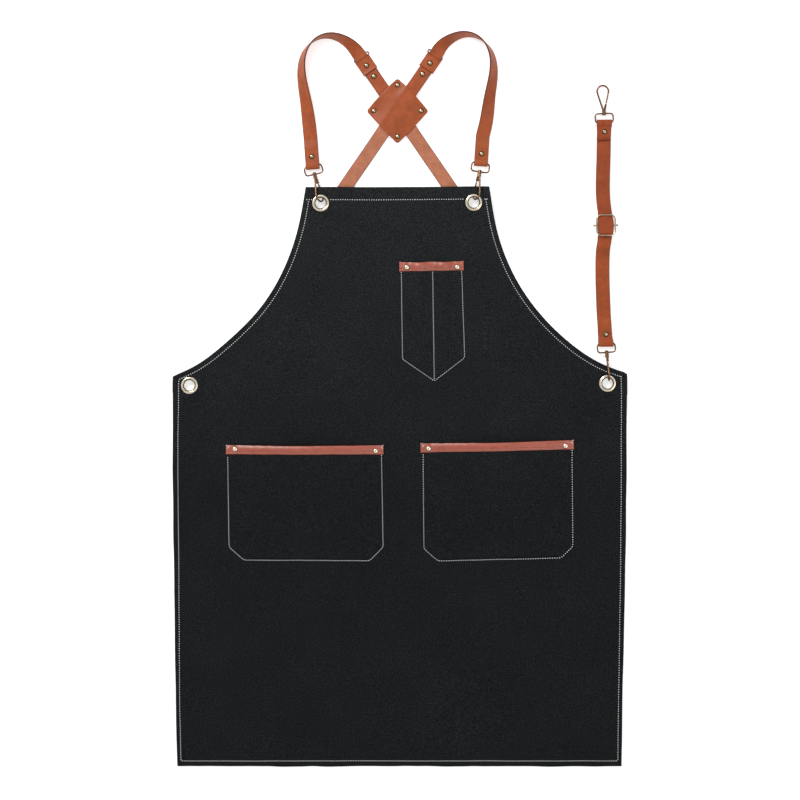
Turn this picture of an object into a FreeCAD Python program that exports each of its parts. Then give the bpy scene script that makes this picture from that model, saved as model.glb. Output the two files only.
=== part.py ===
"""Artist's canvas apron with a leather cross-back harness, laid on its back.

+Z is the front of the apron, +Y points to the top of the bib, and z = 0 is the table.
The body of the apron stands a few millimetres up on the straps and rings that lie beneath it.
"""
import FreeCAD, Part
import math
import os

V = FreeCAD.Vector
os.makedirs("parts", exist_ok=True)

# ---------------------------------------------------------------- driving dimensions (mm)
CLOTH = 1.2                     # canvas thickness, with its hem
TABLE_GAP = 0.8                 # lowest leather and cloth: the rivets' flat caps are under it
BODY_Z = 8.4                    # underside of the raised part of the apron
RAMP_LOW, RAMP_HIGH = -48.0, 5.0        # Y where the cloth leaves the table and where it is level
BOTTOM_Y = -532.5
FOOT_LEFT, FOOT_RIGHT = (-323.6, BOTTOM_Y), (322.2, BOTTOM_Y)
WAIST_LEFT, WAIST_RIGHT = (-329.6, 33.8), (329.4, 38.5)
BIB_LEFT, BIB_RIGHT = (-136.8, 308.2), (129.6, 309.2)
ARMHOLE_LEFT = [(-148.8, 246.0), (-168.6, 190.0), (-205.5, 130.0), (-254.2, 81.6), (-300.0, 47.5)]
ARMHOLE_RIGHT = [(140.8, 246.0), (160.8, 190.0), (199.0, 130.0), (247.8, 81.6), (298.0, 49.5)]
CORNER_R = 5.0

STRAP_W, STRAP_T = 20.0, 2.2
WIRE, HOOK_WIRE = 2.4, 2.6       # rings and the snap hooks' wire
BAR_R = WIRE / 2
FOLD_R = BAR_R + 0.2 + STRAP_T / 2      # centreline of a strap round a bar
LOW = TABLE_GAP + STRAP_T / 2   # centre height of a strap on the table
FOLD_Z = LOW + FOLD_R           # height of a bar that a strap is folded round
TAIL_Z = LOW + STRAP_T + 0.1    # centre height of a strap on another

EYELET_OUT, EYELET_HOLE, EYELET_FLANGE = 12.5, 7.6, 1.0
EYELETS = {"top_left_eyelet": (-115.1, 284.8), "top_right_eyelet": (106.9, 285.7),
           "side_left_eyelet": (-305.4, 20.5), "side_right_eyelet": (300.9, 23.5)}

CAP_R, CAP_H, SHANK_R = 4.0, 1.7, 1.2   # rivets
BACK_CAP_R, BACK_CAP_H = 3.5, TABLE_GAP

D_HALF, D_LENGTH = 13.0, 13.0   # D-ring, centre to centre of its wire
RING_FAR, RING_R = 53.9, 8.3    # hook ring: far end from the D-ring bar, and radius
LIMB_ANGLE = 15.0               # the ring's straight limbs from its axis
GATE_PIN_X, GATE_END_X = 25.5, 40.3

PATCH_C = (-3.6, 419.1)
PATCH_X, PATCH_Y, PATCH_T = 45.4, 48.2, 1.6
PATCH_RIVET_X, PATCH_RIVET_Y = 34.3, 37.3

parts = {}
holes = {}                      # node name -> cutters for its rivet holes


# ---------------------------------------------------------------- general helpers
def cylinder(radius, height, x=0.0, y=0.0, z=0.0, axis=V(0, 0, 1)):
    return Part.makeCylinder(radius, height, V(x, y, z), axis)


def place(shape, origin, heading=0.0, rise=0.0, roll=0.0):
    """Local x goes along the heading (degrees from +X), raised by rise; roll turns about local x."""
    turn = FreeCAD.Rotation(V(0, 0, 1), heading)
    turn = turn.multiply(FreeCAD.Rotation(V(0, 1, 0), -rise))
    turn = turn.multiply(FreeCAD.Rotation(V(1, 0, 0), roll))
    moved = shape.copy()
    moved.Placement = FreeCAD.Placement(V(*origin), turn).multiply(moved.Placement)
    return moved


def heading_of(start, end):
    return math.degrees(math.atan2(end[1] - start[1], end[0] - start[0]))


def prism(points, low, high, radius=0.0):
    """Upright prism of a closed outline, with its corners rounded where radius is given."""
    wire = Part.makePolygon([V(x, y, low) for x, y in points] + [V(points[0][0], points[0][1], low)])
    solid = Part.Face(wire).extrude(V(0, 0, high - low))
    if radius:
        upright = [e for e in solid.Edges if abs(e.Vertexes[0].Z - e.Vertexes[-1].Z) > high - low - 0.01]
        solid = solid.makeFillet(radius, upright)
    return solid


def one_solid(shape):
    shape = shape.removeSplitter()
    return shape.Solids[0] if len(shape.Solids) == 1 else shape


def fuse(first, *others):
    for other in others:
        first = first.fuse(other)
    return one_solid(first)


# ---------------------------------------------------------------- straps
def s_curve(rise, radius):
    """Two equal arcs that shift a strap sideways by rise (negative is down) and keep its heading."""
    turn = math.degrees(math.acos(1 - abs(rise) / (2 * radius))) * (1 if rise > 0 else -1)
    return [("arc", radius, turn), ("arc", radius, -turn)]


def s_length(rise, radius):
    return 2 * radius * math.sin(math.acos(1 - abs(rise) / (2 * radius)))


def strap_profile(x, z, heading, moves, thickness=STRAP_T, width=STRAP_W):
    """A strap bent only along its length: its side view is walked and extruded across its width."""
    left, right, half = [], [], thickness / 2

    def offset(px, pz, angle, side):
        a = math.radians(angle)
        return V(px - side * half * math.sin(a), -width / 2, pz + side * half * math.cos(a))

    for kind, size, *turn in moves:
        if kind == "line":
            a = math.radians(heading)
            nx, nz = x + size * math.cos(a), z + size * math.sin(a)
            for side, edges in ((1, left), (-1, right)):
                edges.append(Part.LineSegment(offset(x, z, heading, side), offset(nx, nz, heading, side)))
            x, z = nx, nz
            continue
        turn = turn[0]
        sign = 1 if turn > 0 else -1
        a = math.radians(heading)
        cx, cz = x - sign * size * math.sin(a), z + sign * size * math.cos(a)
        stops = []
        for share in (0.0, 0.5, 1.0):
            b = math.radians(heading + turn * share)
            stops.append((cx + sign * size * math.sin(b), cz - sign * size * math.cos(b),
                          heading + turn * share))
        for side, edges in ((1, left), (-1, right)):
            edges.append(Part.Arc(*[offset(px, pz, b, side) for px, pz, b in stops]))
        x, z, heading = stops[2]
    edges = [e.toShape() for e in left] + [e.toShape() for e in right]
    for pick in (0, -1):
        ends = [e.toShape().Vertexes[pick].Point for e in ((left[pick]), (right[pick]))]
        edges.append(Part.LineSegment(*ends).toShape())
    wire = Part.Wire(Part.__sortEdges__(edges))
    return Part.Face(wire).extrude(V(0, width, 0)), (x, z)


def fold_moves(run, slack=0.2):
    """Tail under the strap, round a bar at x = 0, then down on to the table and on for run.

    slack lengthens the fold both ways, for a bar that lies askew in it."""
    drop = TAIL_Z - (FOLD_Z + FOLD_R)
    return ([("line", 24.0 + slack), ("arc", FOLD_R, -180.0), ("line", 2 * slack)] + s_curve(drop, DROP_R)
            + [("line", 26.0 - slack - s_length(drop, DROP_R))]
            + s_curve(LOW - TAIL_Z, 20.0) + [("line", run)])


DROP_R = 6.0                    # bend of the upper layer, down from the bar
FOLD_END = 26.0 + s_length(LOW - TAIL_Z, 20.0)


def ribbon(stations, count, thickness=STRAP_T, width=STRAP_W):
    """A flat strap through (x, y, twist, base) stations: twist 0 lies flat, 90 stands on edge.

    base is the height of the strap's lowest edge.  Twist and base run evenly between stations."""
    curve = Part.BSplineCurve()
    curve.interpolate([V(x, y, 0) for x, y, _, _ in stations])
    knots = [curve.parameter(V(x, y, 0)) for x, y, _, _ in stations]
    sections = []
    for i in range(count + 1):
        u = curve.FirstParameter + (curve.LastParameter - curve.FirstParameter) * i / count
        k = max(j for j in range(len(knots) - 1) if knots[j] <= u + 1e-9)
        share = (u - knots[k]) / (knots[k + 1] - knots[k])
        twist, base = [a + (b - a) * share for a, b in zip(stations[k][2:], stations[k + 1][2:])]
        t = math.radians(twist)
        along = curve.tangent(u)[0]
        side = along.cross(V(0, 0, 1)).normalize()
        across = side * math.cos(t) + V(0, 0, 1) * math.sin(t)
        face = along.cross(across)
        height = base + width / 2 * abs(math.sin(t)) + thickness / 2 * abs(math.cos(t))
        centre = curve.value(u) + V(0, 0, height)
        corners = [centre + across * (a * width / 2) + face * (b * thickness / 2)
                   for a, b in ((-1, -1), (1, -1), (1, 1), (-1, 1), (-1, -1))]
        sections.append(Part.makePolygon(corners))
    return Part.makeLoft(sections, True, True)


# ---------------------------------------------------------------- rivets
def rivet(x, y, top, bottom, cut_from, tilt=None):
    """Domed cap on top, shank through the layers and a flat cap beneath; books holes for the shank."""
    dome_r = (CAP_R ** 2 + CAP_H ** 2) / (2 * CAP_H)
    ball = Part.makeSphere(dome_r, V(0, 0, top + CAP_H - dome_r))
    cap = ball.common(cylinder(CAP_R, CAP_H, 0, 0, top))
    shank = cylinder(SHANK_R, top - bottom, 0, 0, bottom)
    solid = fuse(cap, shank, cylinder(BACK_CAP_R, BACK_CAP_H, 0, 0, bottom - BACK_CAP_H))
    cutter = cylinder(SHANK_R, top - bottom + 2, 0, 0, bottom - 1)
    if tilt:
        solid, cutter = (place(s, (0, 0, 0), *tilt) for s in (solid, cutter))
    solid.translate(V(x, y, 0))
    cutter.translate(V(x, y, 0))
    for node in cut_from:
        holes.setdefault(node, []).append(cutter)
    return solid


# ---------------------------------------------------------------- apron body
def body_outline():
    """Closed wire: straight hems, and one smooth curve for each armhole."""
    def line(a, b):
        return Part.LineSegment(V(*a, 0), V(*b, 0)).toShape()

    def armhole(points):
        curve = Part.BSplineCurve()
        curve.interpolate([V(x, y, 0) for x, y in points])
        return curve.toShape()

    edges = [line(FOOT_LEFT, FOOT_RIGHT), line(FOOT_RIGHT, WAIST_RIGHT),
             armhole([WAIST_RIGHT] + ARMHOLE_RIGHT[::-1] + [BIB_RIGHT]), line(BIB_RIGHT, BIB_LEFT),
             armhole([BIB_LEFT] + ARMHOLE_LEFT + [WAIST_LEFT]), line(WAIST_LEFT, FOOT_LEFT)]
    return Part.Wire(edges)


def apron_panel():
    rise, reach = BODY_Z - TABLE_GAP, RAMP_HIGH - RAMP_LOW
    radius = (reach ** 2 / rise + rise) / 4
    moves = [("line", RAMP_LOW - BOTTOM_Y + 5)] + s_curve(rise, radius) + [("line", 330.0 - RAMP_HIGH)]
    slab, _ = strap_profile(BOTTOM_Y - 5, TABLE_GAP + CLOTH / 2, 0.0, moves, CLOTH, 700.0)
    slab = place(slab, (0, 0, 0), 90.0)
    cutter = Part.Face(body_outline()).extrude(V(0, 0, 40))
    cutter.translate(V(0, 0, -5))
    panel = slab.common(cutter)
    for x, y in EYELETS.values():
        panel = panel.cut(cylinder(EYELET_HOLE + 0.8, 40, x, y, -5))
    return one_solid(panel)


def eyelet(x, y):
    """Flange on the front, with a barrel through the cloth."""
    base = BODY_Z + CLOTH
    flange = cylinder(EYELET_OUT, EYELET_FLANGE, x, y, base)
    flange = flange.makeFillet(0.8, [flange.Edges[0]])
    barrel = cylinder(EYELET_HOLE + 0.8, CLOTH + 0.8, x, y, BODY_Z - 0.8)
    return fuse(flange, barrel).cut(cylinder(EYELET_HOLE, 20, x, y, 0))


def eyelet_washer(x, y):
    ring = cylinder(EYELET_OUT - 1.0, 0.8, x, y, BODY_Z - 0.8)
    return ring.cut(cylinder(EYELET_HOLE + 0.8, 5, x, y, BODY_Z - 2))


# ---------------------------------------------------------------- pockets
HIGH_BASE = BODY_Z + CLOTH      # the cloth's top face on the raised part, and on the table
LOW_BASE = TABLE_GAP + CLOTH
POCKET_T, TRIM_T = 1.0, 1.6


def arch_section(y, half, arch_half, height, low, thickness):
    """Section across a pocket: flat at both sides, arched between; a closed wire at y."""
    def run(z, lift):
        pts = [V(-half, y, z), V(-arch_half, y, z), V(arch_half, y, z), V(half, y, z)]
        arc = Part.Arc(pts[1], V(0, y, z + lift), pts[2])
        return [Part.LineSegment(pts[0], pts[1]).toShape(), arc.toShape(),
                Part.LineSegment(pts[2], pts[3]).toShape()], pts
    under, a = run(low, height)
    over, b = run(low + thickness, height)
    sides = [Part.LineSegment(a[3], b[3]).toShape(), Part.LineSegment(b[0], a[0]).toShape()]
    return Part.Wire(Part.__sortEdges__(under + over + sides))


def arch_strip(y_low, y_high, half, arch_half, height, low, thickness):
    face = Part.Face(arch_section(y_low, half, arch_half, height, low, thickness))
    return face.extrude(V(0, y_high - y_low, 0))


def pocket(half, depth, gape, outline, arch_half, base):
    """Pocket front about a mouth centred on (0, 0), its depth down -Y; it gapes at the mouth."""
    top = arch_strip(-TRIM_W, 0.0, half, arch_half, gape, base, POCKET_T)
    wires = [arch_section(-TRIM_W, half, arch_half, gape, base, POCKET_T),
             arch_section(-depth, half, arch_half, 0.2, base, POCKET_T)]
    body = Part.makeLoft(wires, True, True)
    cutter = prism(outline, 0, 60, 4.0)
    return one_solid(fuse(top, body).common(cutter))


TRIM_W = 12.5
GAPE = 9.0
BIG_POCKETS = {                 # mouth centre, tilt, half width, depth, corner cut
    "left_pocket": ((-138.4, -66.9), 0.0, 113.0, 167.2, 20.0),
    "right_pocket": ((140.9, -61.9), 1.25, 110.0, 170.0, 19.0)}
BIG_RIVET_IN = 11.0             # rivet centre from the trim's end
CHEST = ((45.6, 199.5), 0.9, 45.6, 172.6)
CHEST_GAPE, CHEST_TRIM_HALF, CHEST_POINT = 6.5, 46.8, 34.0
CHEST_SLOT = 34.6               # width of each pen slot, beside the flat strip that its rivet is in
CHEST_RIVETS = [(9.8, 191.8), (83.2, 192.2)]


def big_pocket(name):
    (x, y), tilt, half, depth, cut = BIG_POCKETS[name]
    outline = [(-half, 5), (half, 5), (half, cut - depth), (half - cut, -depth),
               (cut - half, -depth), (-half, cut - depth)]
    side = half + 1.3
    arch_half = half - BIG_RIVET_IN - CAP_R
    front = pocket(half, depth, GAPE, outline, arch_half, LOW_BASE)
    trim = arch_strip(-TRIM_W, 0.0, side, arch_half, GAPE, LOW_BASE + POCKET_T, TRIM_T)
    parts[name] = place(front, (x, y, 0), tilt)
    parts[name + "_trim"] = place(trim, (x, y, 0), tilt)
    studs = []
    for sign in (-1, 1):
        a = math.radians(tilt)
        rx = sign * (side - BIG_RIVET_IN)
        px, py = x + rx * math.cos(a) + 6.6 * math.sin(a), y + rx * math.sin(a) - 6.6 * math.cos(a)
        studs.append(rivet(px, py, LOW_BASE + POCKET_T + TRIM_T, TABLE_GAP,
                           ["apron_panel", name, name + "_trim"]))
    parts[name + "_rivets"] = Part.makeCompound(studs)


def chest_pocket():
    """Two pen slots side by side, with one pointed bottom."""
    (x, y), tilt, half, depth = CHEST
    slots, trims = [], []
    slot_half = CHEST_SLOT / 2
    arch_half = slot_half - 4.3
    outline = [(-half, 5), (half, 5), (half - 1, CHEST_POINT - depth), (0, -depth),
               (1 - half, CHEST_POINT - depth)]
    cutter = prism(outline, 0, 60)
    trim_base = HIGH_BASE + POCKET_T
    for sign in (-1, 1):
        wires = [arch_section(-TRIM_W, slot_half, arch_half, CHEST_GAPE, HIGH_BASE, POCKET_T),
                 arch_section(-depth, slot_half, arch_half, 0.2, HIGH_BASE, POCKET_T)]
        strip = arch_strip(-TRIM_W, 0, slot_half, arch_half, CHEST_GAPE, HIGH_BASE, POCKET_T)
        edge = arch_strip(-TRIM_W, 0, slot_half, arch_half, CHEST_GAPE, trim_base, TRIM_T)
        below = Part.makeLoft(wires, True, True)
        for shape in (strip, below, edge):
            shape.translate(V(sign * slot_half, 0, 0))
        side = Part.makeBox(half - CHEST_SLOT, depth, POCKET_T,
                            V(CHEST_SLOT if sign > 0 else -half, -depth, HIGH_BASE))
        tip = Part.makeBox(CHEST_TRIM_HALF - CHEST_SLOT, TRIM_W, TRIM_T,
                           V(CHEST_SLOT if sign > 0 else -CHEST_TRIM_HALF, -TRIM_W, trim_base))
        slots += [strip, below, side]
        trims += [edge, tip]
    front = fuse(*slots).common(cutter)
    parts["chest_pocket"] = place(one_solid(front), (x, y, 0), tilt)
    parts["chest_pocket_trim"] = place(fuse(*trims), (x, y, 0), tilt)
    studs = [rivet(*spot, trim_base + TRIM_T, BODY_Z, ["apron_panel", "chest_pocket", "chest_pocket_trim"])
             for spot in CHEST_RIVETS]
    parts["chest_pocket_rivets"] = Part.makeCompound(studs)


# ---------------------------------------------------------------- rings and hooks
def wire_along(edges, radius, start, direction):
    circle = Part.Wire(Part.Circle(V(*start), V(*direction), radius).toShape())
    return Part.Wire(edges).makePipeShell([circle], True, True)


def rounded_ring(half_width, low, high, radius, wire_r):
    """Closed wire ring in the local x-y plane, x from low to high."""
    h, r = half_width, radius
    k = r * (1 - math.sqrt(0.5))
    def seg(a, b):
        return Part.LineSegment(V(*a, 0), V(*b, 0)).toShape()
    def arc(a, m, b):
        return Part.Arc(V(*a, 0), V(*m, 0), V(*b, 0)).toShape()
    edges = [seg((low, 0), (low, h - r)), arc((low, h - r), (low + k, h - k), (low + r, h)),
             seg((low + r, h), (high - r, h)), arc((high - r, h), (high - k, h - k), (high, h - r)),
             seg((high, h - r), (high, r - h)), arc((high, r - h), (high - k, k - h), (high - r, -h)),
             seg((high - r, -h), (low + r, -h)), arc((low + r, -h), (low + k, k - h), (low, r - h)),
             seg((low, r - h), (low, 0))]
    return wire_along(edges, wire_r, (low, 0, 0), (0, 1, 0))


def d_ring():
    ring = rounded_ring(D_HALF, 0.0, D_LENGTH, 4.0, WIRE / 2)
    boss = cylinder(3.0, 2.8, D_LENGTH - 1.4, 0, 0, V(1, 0, 0))
    return fuse(ring, boss).cut(cylinder(1.5, 10, D_LENGTH - 5, 0, 0, V(1, 0, 0)))


def swivel_stud():
    head = cylinder(2.4, 1.0, D_LENGTH - 1.4 - 0.3 - 1.0, 0, 0, V(1, 0, 0))
    return fuse(head, cylinder(1.3, 7.5, D_LENGTH - 1.8, 0, 0, V(1, 0, 0)))


def limb_y(x):
    """Distance of a limb's centreline from the axis, at x."""
    a = math.radians(LIMB_ANGLE)
    touch = RING_FAR - RING_R - RING_R * math.sin(a)
    return RING_R * math.cos(a) - (touch - x) * math.tan(a)


def hook_ring():
    """Barrel, fork for the gate, and the pear-shaped ring up to its nose."""
    a = math.radians(LIMB_ANGLE)
    touch = RING_FAR - RING_R - RING_R * math.sin(a)
    start, nose = 18.6, 41.0        # inside the barrel, and where the ring's open end stops
    barrel = cylinder(2.8, 5.8, 14.9, 0, 0, V(1, 0, 0))
    barrel = barrel.makeFillet(0.6, barrel.Edges[0])
    edges = [Part.LineSegment(V(start, -limb_y(start), 0), V(touch, -limb_y(touch), 0)).toShape(),
             Part.Arc(V(touch, -limb_y(touch), 0), V(RING_FAR, 0, 0), V(touch, limb_y(touch), 0)).toShape(),
             Part.LineSegment(V(touch, limb_y(touch), 0), V(nose, limb_y(nose), 0)).toShape()]
    ring = wire_along(edges, HOOK_WIRE / 2, (start, -limb_y(start), 0), (math.cos(a), -math.sin(a), 0))
    px, py = GATE_PIN_X, limb_y(GATE_PIN_X)
    arm = Part.makeBox(8.0, 2.8, 3.6, V(-8.0, -1.4, -1.8))
    fork = fuse(arm, cylinder(1.4, 3.6, 0, 0, -1.8))
    fork = fork.cut(Part.makeBox(5.5, 4, 1.9, V(-2.6, -2, -0.95)))
    fork = place(fork, (px, py, 0), LIMB_ANGLE)
    solid = fuse(barrel, ring, fork)
    return solid.cut(cylinder(1.3, 9, 10, 0, 0, V(1, 0, 0))).cut(cylinder(0.6, 6, px, py, -3))


def gate():
    px, py = GATE_PIN_X, limb_y(GATE_PIN_X)
    length = (GATE_END_X - px) / math.cos(math.radians(LIMB_ANGLE))
    eye = cylinder(1.3, 1.6, 0, 0, -0.8)
    bar = cylinder(0.7, 3.2, 0.6, 0, 0, V(1, 0, 0))
    arm = cylinder(1.2, length - 3.2, 3.2, 0, 0, V(1, 0, 0))
    solid = fuse(eye, bar, arm).cut(cylinder(0.68, 6, 0, 0, -3))
    return place(solid, (px, py, 0), LIMB_ANGLE)


def gate_pin():
    px, py = GATE_PIN_X, limb_y(GATE_PIN_X)
    return cylinder(0.6, 4.0, px, py, -2.0)


# D-ring bar centre, heading, rise, roll of the ring, and the side that its gate is on
WAIST_TOP, WAIST_BOTTOM = (296.75, 402.1), (299.0, 81.2)
HOOKS = {
    "top_left": ((-126.9, 339.3, FOLD_Z), heading_of((-126.9, 339.3), (-114.6, 286.8)), 7.0, -57.0, 1),
    "top_right": ((117.5, 343.2, FOLD_Z), heading_of((117.5, 343.2), (109.5, 289.8)), 7.0, 57.0, -1),
    "waist_lower": ((*WAIST_BOTTOM, FOLD_Z), heading_of(WAIST_BOTTOM, (302.8, 27.8)), 8.3, -90.0, -1),
    "waist_upper": ((*WAIST_TOP, FOLD_Z), 93.0, -2.0, 0.0, -1)}


def snap_hook(name):
    origin, heading, rise, roll, gate_side = HOOKS[name]
    parts[name + "_d_ring"] = place(d_ring(), origin, heading, rise)
    parts[name + "_swivel"] = place(swivel_stud(), origin, heading, rise)
    for node, shape in (("hook", hook_ring()), ("gate", gate()), ("gate_pin", gate_pin())):
        if gate_side < 0:
            shape = shape.mirror(V(0, 0, 0), V(0, 1, 0))
        parts[name + "_" + node] = place(shape, origin, heading, rise, roll)


# ---------------------------------------------------------------- harness
STRAP_ENDS = {"left": ((-126.9, 339.3), 94.2), "right": ((117.5, 343.2), 86.2)}
FOLD_SLACK = {"left": 1.9, "right": 1.1, "waist_lower": 1.0, "waist_upper": 0.8}
SHOULDER = [                    # left strap from its D-ring end: x, y, twist, base
    (-132.0, 400.0, 12.0, TABLE_GAP), (-137.5, 438.0, 38.0, TABLE_GAP), (-143.0, 478.0, 56.0, TABLE_GAP),
    (-138.5, 503.0, 70.0, TABLE_GAP), (-124.0, 521.0, 90.0, TABLE_GAP), (-103.0, 527.5, 106.0, TABLE_GAP),
    (-82.0, 521.5, 124.0, TABLE_GAP), (-67.5, 510.5, 148.0, TABLE_GAP)]
RUN = heading_of((-57.0, 497.0), PATCH_C)       # the straight run to the patch
LAYER_A = TABLE_GAP + PATCH_T + 0.1             # first strap through the patch
LAYER_B = LAYER_A + STRAP_T + 0.1               # strap that crosses over it
PATCH_TOP = LAYER_B + STRAP_T + 0.1             # underside of the front patch
SPLICE = 12.0                   # where a shoulder strap meets a back strap, past the patch's centre

SLEEVE_T, SLEEVE_PLAY = 1.5, 0.35
SLEEVE_FROM, SLEEVE_LENGTH = 69.1, 21.7         # along the run, from the patch's centre
ADJUST_RIVET, SLEEVE_RIVET = 60.6, 79.5
ADJUST_BASE = TABLE_GAP + SLEEVE_T + SLEEVE_PLAY
ADJUST_SHIFT = {"left": 0.0, "right": 4.0}
KEEPER_HALF_W, KEEPER_LENGTH, KEEPER_WIRE = 12.4, 4.4, 0.8
KEEPER_OFF = 1.2                # how far the keeper sits towards the other strap

BACK_T = 2.0                    # back straps, which end in loops for the waist strap
BACK_STRAIGHT, BACK_TURN, BACK_TURN_R, BACK_TAIL = 135.0, 20.0, 500.0, 34.0
LOOP_HALF, LOOP_LENGTH = 13.2, 12.0


def strap_end(side):
    """Fold of a shoulder strap round its D-ring bar, in place; returns it and where it ends."""
    origin, heading = STRAP_ENDS[side]
    solid, (length, _) = strap_profile(24.0, LOW, 180.0, fold_moves(1.0, FOLD_SLACK[side]))
    a = math.radians(heading)
    end = (origin[0] + length * math.cos(a), origin[1] + length * math.sin(a))
    return place(solid, (origin[0], origin[1], 0), heading), end


def along_run(distance, mirror):
    """Point on a shoulder strap's straight run, at a distance from the patch's centre."""
    a = math.radians(RUN + 180.0)
    x = PATCH_C[0] + distance * math.cos(a) * (-1 if mirror else 1)
    return x, PATCH_C[1] + distance * math.sin(a)


def shoulder_strap(side):
    mirror = side == "right"
    flip = -1 if mirror else 1
    through = LAYER_B if mirror else LAYER_A
    middle = 2 * PATCH_C[0]
    bend = [(middle - x if mirror else x, y + (2.0 if mirror else 0.0), twist * flip, base)
            for x, y, twist, base in SHOULDER]
    end, stop = strap_end(side)
    straight = [(98.0, ADJUST_BASE), (76.0, ADJUST_BASE), (56.0, ADJUST_BASE), (40.0, through),
                (15.0, through), (-SPLICE, through)]
    run = [(*along_run(d, mirror), 180.0 * flip, base) for d, base in straight]
    stations = [(stop[0], stop[1] - 0.8, 0.0, TABLE_GAP)] + bend + run
    parts[side + "_shoulder_strap"] = fuse(end, ribbon(stations, 60))
    (x, y), heading = STRAP_ENDS[side]
    a = math.radians(heading)
    return rivet(x + 13.5 * math.cos(a), y + 13.5 * math.sin(a), TAIL_Z + STRAP_T / 2, TABLE_GAP,
                 [side + "_shoulder_strap"])


def back_strap(side):
    """From the patch down behind the bib to a rectangular loop for the waist strap."""
    mirror = side == "right"
    through = LAYER_A if mirror else LAYER_B
    out = 1 if mirror else -1
    first, turn = math.radians(90.0 + RUN), math.radians(BACK_TURN)
    spots = [(*along_run(-d, not mirror), base)
             for d, base in ((SPLICE + 0.3, through), (34.0, through), (58.0, TABLE_GAP),
                             (96.0, TABLE_GAP), (BACK_STRAIGHT, TABLE_GAP))]
    sx, sy, _ = spots[-1]
    for share in (0.25, 0.5, 0.75, 1.0):
        lean = first - turn * share
        spots.append((sx + out * BACK_TURN_R * (math.cos(lean) - math.cos(first)),
                      sy - BACK_TURN_R * (math.sin(first) - math.sin(lean)), TABLE_GAP))
    lean = first - turn
    ex, ey, _ = spots[-1]
    spots.append((ex + out * BACK_TAIL * math.sin(lean), ey - BACK_TAIL * math.cos(lean), TABLE_GAP))
    body = ribbon([(x, y, 0.0, base) for x, y, base in spots], 44, BACK_T)
    heading = heading_of((0, 0), (-out * math.sin(lean), math.cos(lean)))
    moves = fold_moves(0.6)
    low = TABLE_GAP + BACK_T / 2
    fold, (length, _) = strap_profile(24.0, low, 180.0, moves, BACK_T)
    a = math.radians(heading)
    reach = length - 0.4
    bar = (spots[-1][0] - reach * math.cos(a), spots[-1][1] - reach * math.sin(a))
    parts[side + "_back_strap"] = fuse(body, place(fold, (*bar, 0), heading))
    loop = rounded_ring(LOOP_HALF, 0.0, LOOP_LENGTH, 3.0, WIRE / 2)
    parts[side + "_back_loop"] = place(loop, (*bar, low + FOLD_R), heading + 180.0)
    return rivet(bar[0] + 13.5 * math.cos(a), bar[1] + 13.5 * math.sin(a),
                 low + STRAP_T + 0.1 + BACK_T / 2, TABLE_GAP, [side + "_back_strap"])


def diamond(low):
    cx, cy = PATCH_C
    corners = [(cx + PATCH_X, cy), (cx, cy + PATCH_Y), (cx - PATCH_X, cy), (cx, cy - PATCH_Y)]
    return prism(corners, low, low + PATCH_T, 4.5)


def cross_patch():
    parts["cross_patch_front"] = diamond(PATCH_TOP)
    parts["cross_patch_back"] = diamond(TABLE_GAP)
    cx, cy = PATCH_C
    spots = [(cx + PATCH_RIVET_X, cy), (cx - PATCH_RIVET_X, cy),
             (cx, cy + PATCH_RIVET_Y), (cx, cy - PATCH_RIVET_Y)]
    studs = [rivet(x, y, PATCH_TOP + PATCH_T, TABLE_GAP, ["cross_patch_front", "cross_patch_back"])
             for x, y in spots]
    parts["cross_patch_rivets"] = Part.makeCompound(studs)


def adjuster(side):
    """Leather sleeve that slides on the strap, its rivet, and a flat metal keeper beside it, under the strap."""
    mirror = side == "right"
    shift = ADJUST_SHIFT[side]
    heading = RUN + 180.0 if not mirror else -RUN
    centre_z = ADJUST_BASE + STRAP_T / 2
    inner_w, inner_t = STRAP_W + 2 * SLEEVE_PLAY, STRAP_T + 2 * SLEEVE_PLAY
    outer_w, outer_t = inner_w + 2 * SLEEVE_T, inner_t + 2 * SLEEVE_T
    sleeve = Part.makeBox(SLEEVE_LENGTH, outer_w, outer_t, V(0, -outer_w / 2, -outer_t / 2))
    sleeve = sleeve.makeFillet(1.2, [e for e in sleeve.Edges if abs(e.Vertexes[0].X - e.Vertexes[-1].X) > 1])
    sleeve = sleeve.cut(Part.makeBox(SLEEVE_LENGTH, inner_w, inner_t, V(0, -inner_w / 2, -inner_t / 2)))
    start = along_run(SLEEVE_FROM + shift, mirror)
    parts[side + "_adjuster_sleeve"] = place(sleeve, (*start, centre_z), heading)
    keeper = rounded_ring(KEEPER_HALF_W, 0.0, KEEPER_LENGTH, 2.4, KEEPER_WIRE)
    keeper.translate(V(0, KEEPER_OFF * (1 if mirror else -1), 0))
    spot = along_run(SLEEVE_FROM + SLEEVE_LENGTH + KEEPER_WIRE + 0.3 + shift, mirror)
    parts[side + "_adjuster_keeper"] = place(keeper, (*spot, TABLE_GAP + KEEPER_WIRE), heading)
    x, y = along_run(SLEEVE_RIVET + shift, mirror)
    dome = (CAP_R ** 2 + CAP_H ** 2) / (2 * CAP_H)
    face = centre_z + outer_t / 2
    cap = Part.makeSphere(dome, V(x, y, face + CAP_H - dome)).common(cylinder(CAP_R, CAP_H, x, y, face))
    pin = cylinder(SHANK_R, SLEEVE_T, x, y, face - SLEEVE_T)
    parts[side + "_sleeve_rivet"] = fuse(cap, pin)
    holes.setdefault(side + "_adjuster_sleeve", []).append(cylinder(SHANK_R, 4, x, y, face - SLEEVE_T))
    x, y = along_run(ADJUST_RIVET + shift, mirror)
    return rivet(x, y, ADJUST_BASE + STRAP_T, ADJUST_BASE, [side + "_shoulder_strap"])


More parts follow.
